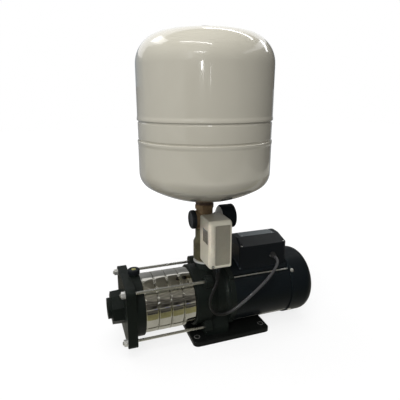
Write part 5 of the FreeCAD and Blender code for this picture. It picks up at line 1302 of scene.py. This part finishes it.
@dataclass(frozen=True)
class Board:
    """A coloured board beside the object that only polished surfaces mirror."""

    name: str
    facing: Facing
    middle: Point
    size: tuple[float, float]
    colour: Colour
    blotches: float = 0.0

    def glow(self, graph: Graph) -> Socket:
        """Build the board's uneven glow."""
        streaks = graph.noise(4.0, 3.0, 0.6, stretch=(0.35, 1.0, 1.0))
        tone = graph.span(streaks, 0.35, 0.65, 1.0 - self.blotches, 1.0 + self.blotches)
        return graph.node("ShaderNodeEmission", {"Color": self.colour, "Strength": tone}).outputs[0]

    def stand(self) -> None:
        """Add the board, which the camera and the soft light don't see."""
        turn = Euler([math.radians(angle) for angle in self.facing.value]).to_matrix()
        half = Vector(self.size) / 2
        made = quad(Vector(self.middle) + turn @ Vector((x * half.x, y * half.y, 0.0))
                    for x, y in SQUARE).build(self.name)
        made.data.materials.append(shaded(self.name, self.glow))
        made.visible_camera = False
        made.visible_diffuse = False
        made.visible_transmission = False
        made.visible_shadow = False


LAMPS = (
    Lamp("front_lamp", (-2.5, -1.6, 1.9), (-0.9, -2.8, 1.9), 2.0, 58.0, mirrored=False),
    Lamp("ceiling_lamp", (-1.2, 0.0, 2.4), (0.8, 0.0, 2.4), 2.0, 30.0, mirrored=False),
    Lamp("low_lamp", (-2.2, -0.88, 0.25), (-2.2, -0.72, 0.25), 0.16, 0.072, spread=7.0,
         aim=(0.0, -0.07, 0.18)),
    Lamp("near_tube", (-1.16, -0.27, 2.22), (-0.155, -1.31, 2.22), 0.08, 3.6),
    Lamp("far_tube", (-2.0, -2.58, 2.2), (-1.1, -3.04, 2.2), 0.14, 3.6),
    Lamp("back_tube", (0.35, 1.15, 2.24), (1.65, 0.3, 2.24), 0.10, 4.0),
    Lamp("back_panel", (-0.9, 1.7, 2.22), (-1.45, 0.55, 2.22), 0.5, 4.5),
    Lamp("right_window", (1.72, 0.82, 1.75), (1.73, 0.41, 1.27), 0.12, 2.0),
    Lamp("door_gap", (-0.81, -1.8, 0.7), (-0.81, -1.8, 0.78), 0.12, 0.5),
    Lamp("post", (-0.372, -1.8, 0.6), (-0.372, -1.8, 0.71), 0.04, 0.06),
)

BOARDS = (
    Board("front_board", Facing.FRONT, (0.2, -1.85, 0.42), (5.0, 1.1), (0.08, 0.076, 0.068), 0.95),
    Board("front_wall", Facing.FRONT, (0.2, -3.3, 2.0), (6.0, 2.4), (0.2, 0.19, 0.17), 0.5),
    Board("front_ceiling", Facing.UP, (0.2, -1.9, 2.7), (6.0, 2.8), (0.24, 0.23, 0.2), 0.7),
    Board("back_ceiling", Facing.UP, (0.2, 0.35, 2.6), (5.0, 1.7), (0.2, 0.195, 0.16), 0.1),
    Board("back_wall", Facing.FRONT, (0.4, 2.3, 0.5), (6.0, 1.3), (0.27, 0.30, 0.33)),
    Board("back_board", Facing.FRONT, (0.1, 0.35, 0.33), (1.1, 0.46), (0.26, 0.265, 0.27), 0.3),
    Board("right_board", Facing.SIDE, (2.1, 0.0, 0.7), (2.0, 5.0), (0.1, 0.095, 0.085), 0.6),
    Board("left_board", Facing.SIDE, (-2.3, 0.3, 1.2), (2.9, 5.0), (0.4, 0.4, 0.38), 0.3),
    Board("floor_board", Facing.UP, (0.0, 0.0, 0.0002), (7.0, 7.0), (0.46, 0.45, 0.40), 0.1),
    Board("near_floor", Facing.UP, (0.0, -0.64, 0.0004), (3.0, 0.72), (0.11, 0.105, 0.09), 0.8),
    Board("blue_crate", Facing.UP, (0.165, -1.2, 0.0006), (0.08, 0.4), (0.05, 0.07, 0.4), 0.2),
    Board("table_edge", Facing.UP, (0.0, -0.205, 0.0006), (3.0, 0.14), (0.25, 0.235, 0.12), 0.4),
    Board("far_floor", Facing.UP, (0.0, 0.78, 0.0004), (3.4, 1.3), (0.2, 0.185, 0.15)),
)


@dataclass
class Studio:
    """The camera at the photograph's angle, the pale floor and the light round the object."""

    eye: Point = (-0.2758, -0.75093, 0.52983)
    pitch: float = 74.77
    heading: float = -19.46
    lens: float = 33.79
    film: float = 36.0
    floor_reach: float = 6.0
    floor_level: float = -0.0002
    floor_tone: float = 0.2
    near_glow: tuple[float, float] = (0.35, 0.80)
    far_glow: tuple[float, float] = (1.3, 1.0)
    soft_light: float = 0.28

    def build(self) -> None:
        """Set the camera, the floor, the lamps, the boards and the world."""
        scene = bpy.context.scene
        camera = bpy.data.objects.new("camera", bpy.data.cameras.new("camera"))
        camera.location = self.eye
        camera.rotation_euler = (math.radians(self.pitch), 0.0, math.radians(self.heading))
        camera.data.lens = self.lens
        camera.data.sensor_width = self.film
        scene.collection.objects.link(camera)
        scene.camera = camera
        scene.view_settings.view_transform = "Standard"
        self.floor()
        for lamp in LAMPS:
            lamp.hang()
        for board in BOARDS:
            board.stand()
        self.world()

    @staticmethod
    def background(graph: Graph, plain: Socket, pale: Socket) -> Socket:
        """Show one shader to diffuse light, and another to the camera and to gloss.

        Args:
            graph: The graph of a material or a world.
            plain: The shader for diffuse light.
            pale: The shader for the camera, gloss and transmission.

        Returns:
            The mixed shader.
        """
        path = graph.node("ShaderNodeLightPath").outputs
        seen = graph.plus(path["Is Camera Ray"], path["Is Glossy Ray"], clamp=True)
        seen = graph.plus(seen, path["Is Transmission Ray"], clamp=True)
        return graph.node("ShaderNodeMixShader", {0: seen, 1: plain, 2: pale}).outputs[0]

    def floor_surface(self, graph: Graph) -> Socket:
        """Build the floor: matte, with a glow that grows away from the object."""
        away = graph.node("ShaderNodeVectorMath", {0: graph.place()}, operation="LENGTH").outputs["Value"]
        (near, low), (far, high) = self.near_glow, self.far_glow
        fade = graph.span(away, near, far, low, high, "SMOOTHSTEP")
        matte = graph.node("ShaderNodeBsdfDiffuse", {"Color": (self.floor_tone,) * 3}).outputs[0]
        glow = graph.node("ShaderNodeEmission", {"Color": (1.0, 1.0, 1.0), "Strength": fade}).outputs[0]
        joined = graph.node("ShaderNodeAddShader", {0: matte, 1: glow}).outputs[0]
        return self.background(graph, matte, joined)

    def floor(self) -> None:
        """Lay the pale floor, which keeps the object's soft shadow."""
        reach = self.floor_reach
        floor = quad(Vector((x * reach, y * reach, self.floor_level)) for x, y in SQUARE)
        made = floor.build("studio_floor")
        made.data.materials.append(shaded("pale_floor", self.floor_surface))

    def world(self) -> None:
        """Light the studio evenly, with a white backdrop for the camera."""
        world = bpy.data.worlds.new("studio")
        world.use_nodes = True
        bpy.context.scene.world = world
        graph = Graph(world.node_tree)
        soft, white = (graph.node("ShaderNodeBackground", {
            "Color": (1.0, 1.0, 1.0), "Strength": strength}).outputs[0]
            for strength in (self.soft_light, 1.0))
        graph.node("ShaderNodeOutputWorld", {"Surface": self.background(graph, soft, white)})


def main() -> None:
    """Load the model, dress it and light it."""
    logging.basicConfig(level=logging.INFO, format="%(message)s")
    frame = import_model()
    shop = Workshop(frame)
    Studio().build()
    for assembly in (SwitchCable(), Tank(), PumpEnd(), Motor(), BrassStack(), PressureSwitch()):
        assembly.build(shop)


if __name__ == "__main__":
    main()
